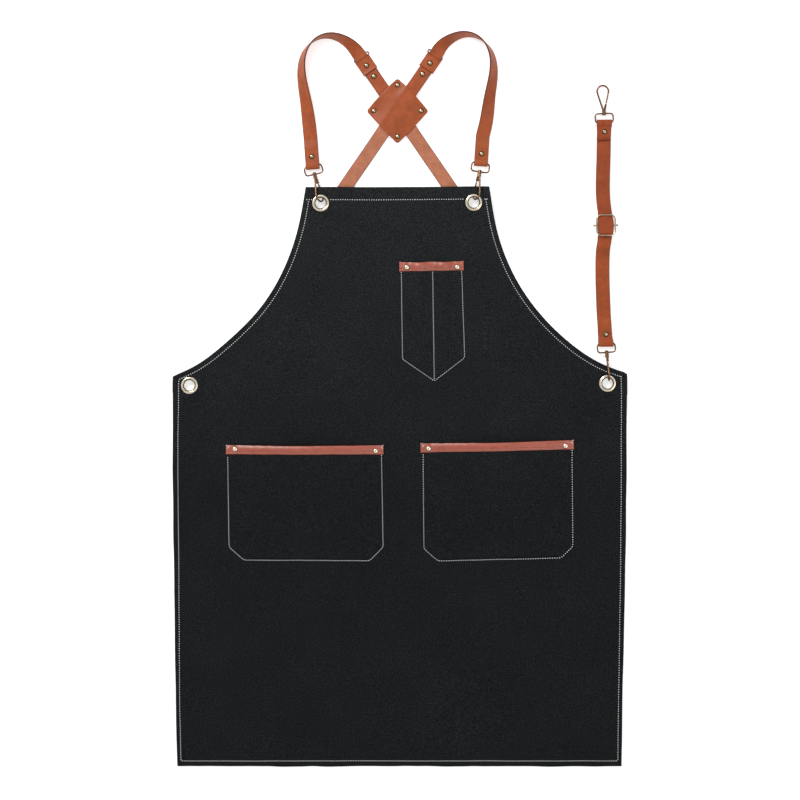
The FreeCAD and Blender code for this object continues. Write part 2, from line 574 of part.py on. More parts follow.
# ---------------------------------------------------------------- waist strap
SLIDER_C = (298.5, 252.8)
SLIDER_HALF_W, SLIDER_HALF_L, SLIDER_WIRE = 13.4, 14.9, 1.1
KNOB_Y, KNOB_R = 17.0, 1.7
TOP_LAYER = FOLD_Z + FOLD_R                     # lower strap over the slider's bar
UPPER_Z = TOP_LAYER + STRAP_T + 0.3             # upper strap over that
FRAME_Z = UPPER_Z + STRAP_T / 2 + SLIDER_WIRE + 0.2


def waist_lower_strap():
    length = math.dist(WAIST_BOTTOM, SLIDER_C)
    heading = heading_of(WAIST_BOTTOM, SLIDER_C)
    rise, tail = TOP_LAYER - LOW, 24.0
    straight = length - FOLD_END - s_length(rise, 20.0) - tail - 2.0
    moves = (fold_moves(straight, FOLD_SLACK["waist_lower"]) + s_curve(rise, 20.0)
             + [("line", tail + 2.0), ("arc", FOLD_R, -180.0), ("line", tail)])
    solid, _ = strap_profile(24.0, LOW, 180.0, moves)
    parts["waist_lower_strap"] = place(solid, (*WAIST_BOTTOM, 0), heading)
    a = math.radians(heading)
    x, y = WAIST_BOTTOM[0] + 13.6 * math.cos(a), WAIST_BOTTOM[1] + 13.6 * math.sin(a)
    parts["waist_lower_rivet"] = rivet(x, y, TAIL_Z + STRAP_T / 2, TABLE_GAP, ["waist_lower_strap"])


def waist_upper_strap():
    """Straight strap: folded round the upper D-ring with its tail in front, then down over the slider."""
    length = math.dist(WAIST_TOP, SLIDER_C)
    heading = heading_of(WAIST_TOP, SLIDER_C)
    rise = math.degrees(math.atan2(UPPER_Z - LOW, length))
    bump, slack = FOLD_Z + FOLD_R - TAIL_Z, FOLD_SLACK["waist_upper"]
    moves = ([("line", 26.0 - slack - s_length(bump, DROP_R))]
             + [(kind, size, -turn) for kind, size, turn in s_curve(bump, DROP_R)]
             + [("line", 2 * slack), ("arc", FOLD_R, 180.0), ("line", slack + length + SLIDER_HALF_L + 0.8)])
    solid, _ = strap_profile(26.0, TAIL_Z - FOLD_Z, 180.0, moves)
    spot = (*WAIST_TOP, FOLD_Z)
    parts["waist_upper_strap"] = place(solid, spot, heading, rise)
    stud = rivet(0, 0, TAIL_Z + STRAP_T / 2 - FOLD_Z, LOW - STRAP_T / 2 - FOLD_Z, [])
    cutter = cylinder(SHANK_R, 12, 0, 0, -7)
    for shape in (stud, cutter):
        shape.translate(V(13.5, 0, 0))
    parts["waist_upper_rivet"] = place(stud, spot, heading, rise)
    holes["waist_upper_strap"] = [place(cutter, spot, heading, rise)]
    return heading, rise


def waist_slider():
    heading = heading_of(WAIST_TOP, SLIDER_C)
    rise = math.degrees(math.atan2(UPPER_Z - LOW, math.dist(WAIST_TOP, SLIDER_C)))
    frame = rounded_ring(SLIDER_HALF_W, -SLIDER_HALF_L, SLIDER_HALF_L, 7.0, SLIDER_WIRE)
    frame = place(frame, (*SLIDER_C, FRAME_Z), heading, rise)
    bar = cylinder(BAR_R, 2 * KNOB_Y, 0, -KNOB_Y, 0, V(0, 1, 0))
    knobs = [Part.makeSphere(KNOB_R, V(0, s * KNOB_Y, 0)) for s in (-1, 1)]
    posts = [cylinder(0.9, FRAME_Z - FOLD_Z, 0, s * SLIDER_HALF_W, 0) for s in (-1, 1)]
    parts["waist_slider_bar"] = place(fuse(bar, *knobs), (*SLIDER_C, FOLD_Z), heading)
    frame = fuse(frame, *[place(p, (*SLIDER_C, FOLD_Z), heading) for p in posts])
    parts["waist_slider_frame"] = one_solid(frame.cut(parts["waist_slider_bar"]))


for name, spot in EYELETS.items():
    parts[name] = eyelet(*spot)
parts["eyelet_washers"] = Part.makeCompound([eyelet_washer(*spot) for spot in EYELETS.values()])
parts["apron_panel"] = apron_panel()
for name in BIG_POCKETS:
    big_pocket(name)
chest_pocket()
for name in HOOKS:
    snap_hook(name)
parts["shoulder_strap_rivets"] = Part.makeCompound([shoulder_strap(side) for side in ("left", "right")])
parts["back_strap_rivets"] = Part.makeCompound([back_strap(side) for side in ("left", "right")])
parts["adjustment_rivets"] = Part.makeCompound([adjuster(side) for side in ("left", "right")])
cross_patch()
waist_lower_strap()
waist_upper_strap()
waist_slider()

for name, shape in parts.items():
    for cutter in holes.get(name, []):
        shape = shape.cut(cutter)
    shape.exportStep("parts/%s.step" % name)
    box = shape.BoundBox
    print("%-24s %d %s %8.1f  z %.2f..%.2f" % (name, len(shape.Solids), shape.isValid(), shape.Volume,
                                               box.ZMin, box.ZMax))
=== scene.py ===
"""The looks of an artist's canvas apron with a leather harness, laid on its back on a pale table.

Positions are the CAD model's own, in millimetres until a mesh is made.  +Z is the front.
"""
import math

import bpy
import bmesh
import numpy as np
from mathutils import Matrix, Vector, noise
from mathutils.bvhtree import BVHTree


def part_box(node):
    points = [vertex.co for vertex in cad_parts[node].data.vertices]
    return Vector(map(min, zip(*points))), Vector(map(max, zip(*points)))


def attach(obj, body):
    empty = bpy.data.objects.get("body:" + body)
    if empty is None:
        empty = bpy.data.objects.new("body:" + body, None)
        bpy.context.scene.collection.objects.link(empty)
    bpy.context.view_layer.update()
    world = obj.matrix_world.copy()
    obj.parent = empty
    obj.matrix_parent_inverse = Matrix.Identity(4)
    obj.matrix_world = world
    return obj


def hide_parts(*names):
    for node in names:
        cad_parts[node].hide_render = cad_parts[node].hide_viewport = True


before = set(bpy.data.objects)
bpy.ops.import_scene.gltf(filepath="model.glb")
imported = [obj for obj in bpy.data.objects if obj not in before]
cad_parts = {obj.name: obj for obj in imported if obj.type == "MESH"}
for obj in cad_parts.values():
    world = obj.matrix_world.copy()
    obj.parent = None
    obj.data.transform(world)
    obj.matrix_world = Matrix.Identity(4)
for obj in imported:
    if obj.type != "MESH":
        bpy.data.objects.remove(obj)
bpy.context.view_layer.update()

ROOT = "apron_and_harness"
MM = 0.001

# ---------------------------------------------------------------- sizes shared with the CAD model (mm)
TABLE_GAP, BODY_Z = 0.8, 8.4
BOTTOM_Y = -532.5
FOOT_LEFT, FOOT_RIGHT = (-323.6, BOTTOM_Y), (322.2, BOTTOM_Y)
WAIST_LEFT, WAIST_RIGHT = (-329.6, 33.8), (329.4, 38.5)
BIB_LEFT, BIB_RIGHT = (-136.8, 308.2), (129.6, 309.2)
ARMHOLE_LEFT = [(-148.8, 246.0), (-168.6, 190.0), (-205.5, 130.0), (-254.2, 81.6), (-300.0, 47.5)]
ARMHOLE_RIGHT = [(140.8, 246.0), (160.8, 190.0), (199.0, 130.0), (247.8, 81.6), (298.0, 49.5)]
EYELETS = {"top_left_eyelet": (-115.1, 284.8), "top_right_eyelet": (106.9, 285.7),
           "side_left_eyelet": (-305.4, 20.5), "side_right_eyelet": (300.9, 23.5)}
EYELET_OUT, EYELET_HOLE = 12.5, 7.6

STRAP_W, STRAP_T, BACK_T = 20.0, 2.2, 2.0
FOLD_R = 1.2 + 0.2 + STRAP_T / 2
LOW = TABLE_GAP + STRAP_T / 2
FOLD_Z = LOW + FOLD_R
TAIL_Z = LOW + STRAP_T + 0.1
PATCH_C, PATCH_X, PATCH_Y, PATCH_T = (-3.6, 419.1), 45.4, 48.2, 1.6
LAYER_A = TABLE_GAP + PATCH_T + 0.1
LAYER_B = LAYER_A + STRAP_T + 0.1

# looks only
CANVAS_T, HEM_T = 0.8, 0.9          # one layer of canvas, and what a folded hem adds
HEM_TOP, HEM_EDGE = 20.5, 10.0      # widths of the hems
SEAM_TOP, SEAM_EDGE = 18.5, 7.8     # seams from the edge
SEAM_WAIST, SEAM_FOOT = 9.0, 5.8    # side seams from the edge, at the waist and at the bottom
STITCH_PITCH, STITCH_LENGTH, STITCH_R = 3.5, 1.8, 0.66
STITCH_CLEARANCE = 1.3


# ---------------------------------------------------------------- curves
def natural_spline(knots, values, at):
    """Cubic spline with free ends through values (rows) at knots, evaluated at the given places."""
    knots, values = np.asarray(knots, float), np.asarray(values, float)
    n, gaps = len(knots), np.diff(knots)
    matrix, right = np.zeros((n, n)), np.zeros((n, values.shape[1]))
    matrix[0, 0] = matrix[-1, -1] = 1.0
    for i in range(1, n - 1):
        matrix[i, i - 1:i + 2] = gaps[i - 1], 2 * (gaps[i - 1] + gaps[i]), gaps[i]
        right[i] = 6 * ((values[i + 1] - values[i]) / gaps[i] - (values[i] - values[i - 1]) / gaps[i - 1])
    second = np.linalg.solve(matrix, right)
    at = np.asarray(at, float)
    k = np.clip(np.searchsorted(knots, at, side="right") - 1, 0, n - 2)
    h = gaps[k][:, None]
    a, b = (knots[k + 1] - at)[:, None], (at - knots[k])[:, None]
    return (second[k] * a ** 3 / (6 * h) + second[k + 1] * b ** 3 / (6 * h)
            + (values[k] / h - second[k] * h / 6) * a + (values[k + 1] / h - second[k + 1] * h / 6) * b)


def chord_knots(points):
    points = np.asarray(points, float)
    return np.concatenate([[0.0], np.cumsum(np.linalg.norm(np.diff(points, axis=0), axis=1))])


def curve_through(points, step):
    knots = chord_knots(points)
    return natural_spline(knots, points, np.linspace(0, knots[-1], max(2, int(knots[-1] / step)) + 1))


def line_points(a, b, step):
    count = max(1, int(math.dist(a, b) / step))
    return np.linspace(a, b, count + 1)


def resample(points, pitch):
    """Evenly spaced points along a polyline, with the unit direction at each."""
    points = np.asarray(points, float)
    reach = chord_knots(points)
    at = np.arange(pitch / 2, reach[-1], pitch)
    spots = np.stack([np.interp(at, reach, points[:, i]) for i in range(points.shape[1])], axis=1)
    ahead = np.stack([np.interp(at + 0.5, reach, points[:, i]) for i in range(points.shape[1])], axis=1)
    behind = np.stack([np.interp(at - 0.5, reach, points[:, i]) for i in range(points.shape[1])], axis=1)
    along = ahead - behind
    return spots, along / np.linalg.norm(along, axis=1)[:, None]


def smoothstep(x):
    x = np.clip(x, 0.0, 1.0)
    return x * x * (3 - 2 * x)


def fbm(x, y, scale, seed=0.0):
    """Soft noise from -1 to 1 at each place; scale is its largest wavelength in mm."""
    flat = [noise.fractal(Vector((a / scale, b / scale, seed)), 1.0, 2.0, 3)
            for a, b in zip(np.ravel(x), np.ravel(y))]
    return np.array(flat).reshape(np.shape(x))


# ---------------------------------------------------------------- the apron's outline
LEFT_SIDE = curve_through([FOOT_LEFT, (-325.5, -465), (-327.8, -319), (-329.7, -174), (-330.7, -30), WAIST_LEFT], 6.0)
RIGHT_SIDE = curve_through([FOOT_RIGHT, (323.1, -465), (326.3, -320), (328.7, -175), (329.8, -30), WAIST_RIGHT], 6.0)
LEFT_ARM = curve_through([WAIST_LEFT] + ARMHOLE_LEFT[::-1] + [BIB_LEFT], 5.0)
RIGHT_ARM = curve_through([WAIST_RIGHT] + ARMHOLE_RIGHT[::-1] + [BIB_RIGHT], 5.0)
LEFT_EDGE = np.concatenate([LEFT_SIDE, LEFT_ARM[1:]])
RIGHT_EDGE = np.concatenate([RIGHT_SIDE, RIGHT_ARM[1:]])
BOTTOM_EDGE = line_points(LEFT_SIDE[0], RIGHT_SIDE[0], 6.0)
TOP_EDGE = line_points(BIB_LEFT, BIB_RIGHT, 6.0)


def distance_to(points, x, y):
    """Distance in the plane from each place to a polyline."""
    x, y = np.asarray(x, float), np.asarray(y, float)
    best = np.full(x.shape, 1e9)
    for a, b in zip(points[:-1], points[1:]):
        d = b - a
        t = np.clip(((x - a[0]) * d[0] + (y - a[1]) * d[1]) / (d @ d), 0, 1)
        best = np.minimum(best, (x - a[0] - t * d[0]) ** 2 + (y - a[1] - t * d[1]) ** 2)
    return np.sqrt(best)


def edge_x(edge, y):
    return np.interp(y, edge[:, 1], edge[:, 0])


# ---------------------------------------------------------------- cloth that settles on what is beneath
class Settled:
    """Height field of a sheet that sinks under its weight on to obstacles, as a membrane does."""

    def __init__(self, low, high, step, floor, start, inside):
        self.low, self.step = np.array(low, float), step
        self.x = np.arange(low[0], high[0] + step, step)
        self.y = np.arange(low[1], high[1] + step, step)
        self.gx, self.gy = np.meshgrid(self.x, self.y)
        self.floor = np.full(self.gx.shape, float(floor))
        self.height = np.full(self.gx.shape, float(start))
        self.inside = inside(self.gx, self.gy)
        self.pinned = np.full(self.gx.shape, np.nan)

    def rests_on(self, names, ceiling, gap=0.15, rim=0):
        """Raises the floor to the top of each CAD node, seen from the ceiling down, and rim cells round it."""
        for name in names:
            lo, hi = (np.array(c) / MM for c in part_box(name))
            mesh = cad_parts[name].data
            tree = BVHTree.FromPolygons([v.co for v in mesh.vertices], [p.vertices for p in mesh.polygons])
            cols = np.where((self.x > lo[0] - 1) & (self.x < hi[0] + 1))[0]
            rows = np.where((self.y > lo[1] - 1) & (self.y < hi[1] + 1))[0]
            for j in rows:
                for i in cols:
                    hit = tree.ray_cast(Vector((self.x[i], self.y[j], ceiling)) * MM, Vector((0, 0, -1)))
                    if hit[0] is not None:
                        spot = self.floor[j - rim:j + rim + 1, i - rim:i + rim + 1]
                        np.maximum(spot, hit[0].z / MM + gap, out=spot)

    def pin(self, x, y, radius, height):
        near = (self.gx - x) ** 2 + (self.gy - y) ** 2 < radius ** 2
        self.pinned[near] = height

    def settle(self, weight, rounds, soften=3):
        m = np.pad(self.inside.astype(float), 1)
        count = m[:-2, 1:-1] + m[2:, 1:-1] + m[1:-1, :-2] + m[1:-1, 2:]
        count[count == 0] = 1
        held = ~np.isnan(self.pinned)
        for k in range(rounds + soften):
            h = np.pad(self.height, 1) * m
            mean = (h[:-2, 1:-1] + h[2:, 1:-1] + h[1:-1, :-2] + h[1:-1, 2:]) / count
            sink = weight if k < rounds else 0.0
            self.height = np.maximum(mean - sink, self.floor)
            self.height[held] = self.pinned[held]

    def at(self, x, y):
        u = np.clip((np.asarray(x) - self.low[0]) / self.step, 0, len(self.x) - 1.001)
        v = np.clip((np.asarray(y) - self.low[1]) / self.step, 0, len(self.y) - 1.001)
        i, j = u.astype(int), v.astype(int)
        a, b, h = u - i, v - j, self.height
        return ((h[j, i] * (1 - a) + h[j, i + 1] * a) * (1 - b) + (h[j + 1, i] * (1 - a) + h[j + 1, i + 1] * a) * b)


def in_panel(x, y):
    return ((y > BOTTOM_Y - 5) & (y < 311) & (x > edge_x(LEFT_EDGE, y) - 5) & (x < edge_x(RIGHT_EDGE, y) + 5))


HOOK_DIP, HOOK_DIP_DEPTH, HOOK_DIP_SPREAD = (-123.0, 309.0), 1.0, 60.0    # room for the top left hook to swing


def settle_panel():
    cloth = Settled((-338, -540), (338, 316), 4.0, TABLE_GAP, BODY_Z, in_panel)
    cloth.rests_on(["left_back_strap", "right_back_strap", "left_back_loop", "right_back_loop", "back_strap_rivets"],
                   BODY_Z - 0.1, rim=1)
    cloth.rests_on(["top_left_hook", "top_right_hook", "waist_lower_hook"], BODY_Z - 0.1)
    for name, (x, y) in EYELETS.items():
        cloth.pin(x, y, 34.0 if name == "side_right_eyelet" else 17.0, BODY_Z)
    for x, y in ((-96, 305), (-125, 300), (99, 305), (117, 300), (109, 306)):
        cloth.pin(x, y, 9.0, BODY_Z)
    cloth.settle(0.022, 1400)
    free = np.isnan(cloth.pinned)
    swell = 1.5 * fbm(cloth.gx, cloth.gy * 0.55, 150.0, 3.0) + 0.9 * fbm(cloth.gx * 0.8, cloth.gy, 60.0, 9.0)
    edge = np.minimum(distance_to(BOTTOM_EDGE, cloth.gx, cloth.gy), 60) / 60
    wave = 1.7 * (1 - edge) * (0.5 + 0.5 * np.sin(cloth.gx / 29.0 + 2 * fbm(cloth.gx, 0 * cloth.gx, 90.0, 5.0)))
    cloth.height += np.where(free, np.maximum(swell, 0) + wave, 0)
    cloth.settle(0.0, 0, 2)
    x, y = HOOK_DIP
    cloth.height -= HOOK_DIP_DEPTH * np.exp(-((cloth.gx - x) ** 2 + (cloth.gy - y) ** 2) / HOOK_DIP_SPREAD)
    return cloth


panel_field = settle_panel()


def panel_thickness(x, y):
    edges = np.minimum(distance_to(LEFT_EDGE, x, y), distance_to(RIGHT_EDGE, x, y))
    edges = np.minimum(edges, distance_to(BOTTOM_EDGE, x, y))
    top = distance_to(TOP_EDGE, x, y)
    hem = np.maximum(smoothstep((HEM_EDGE - edges) / 1.6), smoothstep((HEM_TOP - top) / 1.6))
    groove = np.exp(-((edges - SEAM_EDGE) / 1.3) ** 2) + np.exp(-((top - SEAM_TOP) / 1.3) ** 2)
    pucker = fbm(x, y, 9.0, 2.0) * np.exp(-(np.minimum(edges, top * 0.5) / 9.0) ** 2)
    return CANVAS_T + HEM_T * hem - 0.35 * np.clip(groove, 0, 1) * hem + 0.22 * pucker


def panel_top(x, y):
    """Height of the apron's front face."""
    return panel_field.at(x, y) + panel_thickness(x, y)


# ---------------------------------------------------------------- mesh making
def add_mesh(name, verts, faces, body, materials, replaces=(), picks=None, smooth=True, sharp=None):
    mesh = bpy.data.meshes.new(name)
    mesh.from_pydata((np.asarray(verts, float) * MM).tolist(), [], [tuple(int(i) for i in f) for f in faces])
    obj = bpy.data.objects.new(name, mesh)
    bpy.context.scene.collection.objects.link(obj)
    for material in materials:
        mesh.materials.append(material)
    if picks is not None:
        mesh.polygons.foreach_set("material_index", np.asarray(picks, np.int32))
    mesh.polygons.foreach_set("use_smooth", [smooth] * len(mesh.polygons))
    bm = bmesh.new()
    bm.from_mesh(mesh)
    bmesh.ops.recalc_face_normals(bm, faces=bm.faces)
    if sharp:
        for edge in bm.edges:
            if len(edge.link_faces) == 2 and edge.calc_face_angle(0.0) > math.radians(sharp):
                edge.smooth = False
    bm.to_mesh(mesh)
    bm.free()
    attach(obj, body)
    if replaces:
        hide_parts(*replaces)
    return obj


def grid_faces(rows, cols):
    j, i = np.meshgrid(np.arange(rows - 1), np.arange(cols - 1), indexing="ij")
    a = (j * cols + i).ravel()
    return np.stack([a, a + 1, a + 1 + cols, a + cols], axis=1)


def closed_sheet(top, bottom, faces):
    """Vertices and faces of a sheet with a front, a back and walls round every free edge."""
    n = len(top)
    used = {}
    for face in faces:
        for a, b in zip(face, np.roll(face, -1)):
            used[(int(a), int(b))] = True
    walls = [(b, a, a + n, b + n) for a, b in used if (b, a) not in used]
    verts = np.concatenate([top, bottom])
    every = np.concatenate([faces, faces[:, ::-1] + n, np.array(walls)])
    keep = np.unique(every)
    number = np.full(2 * n, -1)
    number[keep] = np.arange(len(keep))
    return verts[keep], number[every]


def lathe(profile, segments=28):
    """Verts and faces of a closed turned shape about local z; profile is (radius, height) pairs."""
    verts, faces, rings = [], [], []
    for r, z in profile:
        if r < 1e-6:
            rings.append([len(verts)])
            verts.append((0.0, 0.0, z))
            continue
        rings.append(list(range(len(verts), len(verts) + segments)))
        verts += [(r * math.cos(2 * math.pi * k / segments), r * math.sin(2 * math.pi * k / segments), z)
                  for k in range(segments)]
    loops = list(zip(rings[:-1], rings[1:]))
    if len(rings[0]) > 1 and len(rings[-1]) > 1:
        loops.append((rings[-1], rings[0]))
    for low, high in loops:
        for k in range(segments):
            n = (k + 1) % segments
            if len(low) == 1:
                faces.append((low[0], high[n], high[k]))
            elif len(high) == 1:
                faces.append((low[k], low[n], high[0]))
            else:
                faces.append((low[k], low[n], high[n], high[k]))
    return np.array(verts), faces


def join_parts(parts):
    verts, faces, start = [], [], 0
    for v, f in parts:
        verts.append(v)
        faces += [tuple(i + start for i in face) for face in f]
        start += len(v)
    return np.concatenate(verts), faces


# ---------------------------------------------------------------- materials
def node_material(name):
    material = bpy.data.materials.new(name)
    material.use_nodes = True
    tree = material.node_tree
    shader = tree.nodes["Principled BSDF"]
    return material, tree, shader


def link(tree, a, out, b, into):
    tree.links.new(a.outputs[out], b.inputs[into])


def coordinates(tree, scale=(1, 1, 1), turn=0.0):
    source = tree.nodes.new("ShaderNodeTexCoord")
    mapping = tree.nodes.new("ShaderNodeMapping")
    mapping.inputs["Scale"].default_value = scale
    mapping.inputs["Rotation"].default_value = (0, 0, turn)
    link(tree, source, "Object", mapping, "Vector")
    return mapping


def noise_node(tree, where, scale, detail=3.0, rough=0.55):
    node = tree.nodes.new("ShaderNodeTexNoise")
    node.inputs["Scale"].default_value = scale
    node.inputs["Detail"].default_value = detail
    node.inputs["Roughness"].default_value = rough
    link(tree, where, "Vector", node, "Vector")
    return node


def ramp(tree, source, out, stops):
    node = tree.nodes.new("ShaderNodeValToRGB")
    while len(node.color_ramp.elements) < len(stops):
        node.color_ramp.elements.new(0.5)
    for element, (place, colour) in zip(node.color_ramp.elements, stops):
        element.position = place
        element.color = (*colour, 1.0)
    link(tree, source, out, node, "Fac")
    return node


def mixed(tree, kind, factor, a, b):
    node = tree.nodes.new("ShaderNodeMix")
    node.data_type = "RGBA"
    node.blend_type = kind
    if isinstance(factor, (int, float)):
        node.inputs["Factor"].default_value = factor
    else:
        tree.links.new(factor, node.inputs["Factor"])
    tree.links.new(a, node.inputs["A"])
    tree.links.new(b, node.inputs["B"])
    return node.outputs["Result"]


def bumped(tree, shader, layers):
    """Adds bump from (output, strength, distance) layers, one over another."""
    normal = None
    for output, strength, distance in layers:
        node = tree.nodes.new("ShaderNodeBump")
        node.inputs["Strength"].default_value = strength
        node.inputs["Distance"].default_value = distance
        tree.links.new(output, node.inputs["Height"])
        if normal:
            tree.links.new(normal, node.inputs["Normal"])
        normal = node.outputs["Normal"]
    tree.links.new(normal, shader.inputs["Normal"])


def shades(colour, *factors):
    return [tuple(c * f for c in colour) for f in factors]


def canvas_material(name, colour):
    """Plain weave with slubs, mottled tone, painted light brighter towards the bib, and a soft nap."""
    material, tree, shader = node_material(name)
    where = coordinates(tree)
    threads = []
    for direction in ("X", "Y"):
        wave = tree.nodes.new("ShaderNodeTexWave")
        wave.bands_direction = direction
        wave.inputs["Scale"].default_value = 360.0
        wave.inputs["Distortion"].default_value = 1.2
        wave.inputs["Detail"].default_value = 1.0
        link(tree, where, "Vector", wave, "Vector")
        threads.append(wave)
    weave = mixed(tree, "LIGHTEN", 1.0, threads[0].outputs["Color"], threads[1].outputs["Color"])
    slub = noise_node(tree, coordinates(tree, (1, 0.12, 1)), 900.0, 2.0)
    cloud = noise_node(tree, where, 9.0, 4.0, 0.6)
    speck = noise_node(tree, where, 520.0, 3.0, 0.65)
    dark, middle, light = shades(colour, 0.85, 1.0, 1.2)
    base = ramp(tree, cloud, "Fac", [(0.3, dark), (0.52, middle), (0.75, light)])
    fleck = ramp(tree, speck, "Fac", [(0.36, (0.3,) * 3), (0.52, (0.95,) * 3), (0.7, (2.1,) * 3)])
    tint = mixed(tree, "MULTIPLY", 1.0, base.outputs["Color"], fleck.outputs["Color"])
    fine = ramp(tree, slub, "Fac", [(0.3, (0.85,) * 3), (0.7, (1.2,) * 3)])
    tint = mixed(tree, "MULTIPLY", 0.6, tint, fine.outputs["Color"])
    # painted light: the cloth is made lighter towards the bib and darker low down, a gradient along y that follows
    # how the light fell
    split = tree.nodes.new("ShaderNodeSeparateXYZ")
    link(tree, where, "Vector", split, "Vector")
    height = tree.nodes.new("ShaderNodeMapRange")
    height.inputs["From Min"].default_value, height.inputs["From Max"].default_value = -0.15, 0.27
    link(tree, split, "Y", height, "Value")
    painted_light_gradient = ramp(tree, height, "Result", [(0.0, (0.86,) * 3), (1.0, (1.5,) * 3)])
    tint = mixed(tree, "MULTIPLY", 1.0, tint, painted_light_gradient.outputs["Color"])
    tree.links.new(tint, shader.inputs["Base Color"])
    shader.inputs["Roughness"].default_value = 0.88
    shader.inputs["Specular IOR Level"].default_value = 0.12
    shader.inputs["Sheen Weight"].default_value = 0.04
    shader.inputs["Sheen Roughness"].default_value = 0.5
    bumped(tree, shader, [(weave, 0.35, 0.0003), (speck.outputs["Fac"], 0.25, 0.0006)])
    return material


def leather_material(name, colour, gloss=0.45, grain=1.0, nap=0.0, shine=0.3):
    """Smooth dyed leather: pull-up clouding, pores, fine creases and an uneven gloss."""
    material, tree, shader = node_material(name)
    where = coordinates(tree)
    cloud = noise_node(tree, where, 55.0, 4.0, 0.65)
    patch = noise_node(tree, where, 160.0, 3.0, 0.6)
    pores = tree.nodes.new("ShaderNodeTexVoronoi")
    pores.inputs["Scale"].default_value = 1300.0
    link(tree, where, "Vector", pores, "Vector")
    fibre = noise_node(tree, where, 1900.0, 4.0, 0.7)
    dark, middle, light = shades(colour, 0.84, 1.0, 1.16)
    base = ramp(tree, cloud, "Fac", [(0.3, dark), (0.5, middle), (0.72, light)])
    fleck = ramp(tree, patch, "Fac", [(0.32, (0.88, 0.86, 0.84)), (0.52, (1.0,) * 3), (0.74, (1.12, 1.1, 1.08))])
    tint = mixed(tree, "MULTIPLY", 0.85, base.outputs["Color"], fleck.outputs["Color"])
    tree.links.new(tint, shader.inputs["Base Color"])
    rough = tree.nodes.new("ShaderNodeMapRange")
    rough.inputs["To Min"].default_value = gloss - 0.1
    rough.inputs["To Max"].default_value = gloss + 0.18
    link(tree, patch, "Fac", rough, "Value")
    link(tree, rough, "Result", shader, "Roughness")
    shader.inputs["Specular IOR Level"].default_value = shine
    if nap:
        shader.inputs["Sheen Weight"].default_value = nap
    bumped(tree, shader, [(cloud.outputs["Fac"], 0.15 * grain, 0.0012),
                          (pores.outputs["Distance"], 0.22 * grain, 0.0002),
                          (fibre.outputs["Fac"], 0.3 * grain, 0.00015)])
    return material


def metal_material(name, colour, rough, wear):
    """Plated metal with faint tarnish and small scratches in its gloss."""
    material, tree, shader = node_material(name)
    where = coordinates(tree)
    tarnish = noise_node(tree, where, 420.0, 4.0, 0.6)
    scratch = noise_node(tree, coordinates(tree, (1, 9, 3), 0.6), 700.0, 2.0)
    dark, light = shades(colour, wear, 1.06)
    base = ramp(tree, tarnish, "Fac", [(0.34, dark), (0.62, light)])
    link(tree, base, "Color", shader, "Base Color")
    shader.inputs["Metallic"].default_value = 1.0
    spread = tree.nodes.new("ShaderNodeMapRange")
    spread.inputs["To Min"].default_value = rough
    spread.inputs["To Max"].default_value = rough + 0.16
    link(tree, scratch, "Fac", spread, "Value")
    link(tree, spread, "Result", shader, "Roughness")
    bumped(tree, shader, [(scratch.outputs["Fac"], 0.06, 0.0001)])
    return material


def thread_material(name, colour):
    material, tree, shader = node_material(name)
    twist = noise_node(tree, coordinates(tree, (1, 1, 1)), 2200.0, 2.0)
    dark, light = shades(colour, 0.7, 1.1)
    base = ramp(tree, twist, "Fac", [(0.35, dark), (0.65, light)])
    link(tree, base, "Color", shader, "Base Color")
    shader.inputs["Roughness"].default_value = 0.7
    bumped(tree, shader, [(twist.outputs["Fac"], 0.4, 0.0002)])
    return material


CANVAS = canvas_material("charcoal_canvas", (0.0085, 0.0096, 0.0105))
STRAP = leather_material("strap_leather", (0.322, 0.068, 0.0165))
# painted shade: a darker copy of the strap leather for the waist strap, which lies out of the key light that the
# shoulder straps catch
WAIST_SHADED = leather_material("waist_strap_leather_painted_shade", (0.268, 0.052, 0.0135), 0.5, shine=0.22)
# painted light: a lighter copy of the waist strap leather, to offset the shade that the lower piece lies in
WAIST_LOW_LIT = leather_material("waist_strap_lower_leather_painted_light", (0.3, 0.0605, 0.0145), 0.5, shine=0.22)
STRAP_EDGE = leather_material("strap_edge_paint", (0.10, 0.026, 0.012), 0.4, 0.6)
FLESH = leather_material("flesh_side_leather", (0.405, 0.145, 0.078), 0.62, 1.5, 0.1)
TRIM = leather_material("trim_leather", (0.33, 0.062, 0.029), 0.36, shine=0.85)
TRIM_EDGE = leather_material("trim_edge_paint", (0.12, 0.025, 0.014), 0.4, 0.6)
PATCH = leather_material("patch_leather", (0.315, 0.068, 0.0175), 0.42, 0.7, shine=0.3)
PALE_GOLD = metal_material("pale_gold_plate", (0.92, 0.82, 0.64), 0.14, 0.82)
RIVET_GOLD = metal_material("rivet_gold_plate", (0.66, 0.53, 0.35), 0.16, 0.8)
# painted shade: dark gold on the rims of rivet caps and eyelets, standing in for the contact shadow round them
SHADED_GOLD_RIM = metal_material("gold_rim_painted_shade", (0.13, 0.085, 0.05), 0.34, 0.6)
ANTIQUE = metal_material("antique_gold_plate", (0.25, 0.14, 0.08), 0.2, 0.5)
SLIDER_PLATE = metal_material("slider_plate", (0.62, 0.5, 0.38), 0.12, 0.55)
DARK_METAL = metal_material("dark_bronze_plate", (0.2, 0.13, 0.08), 0.25, 0.6)
THREAD = thread_material("pale_thread", (0.72, 0.72, 0.73))
TAN_THREAD = thread_material("tan_thread", (0.52, 0.25, 0.19))


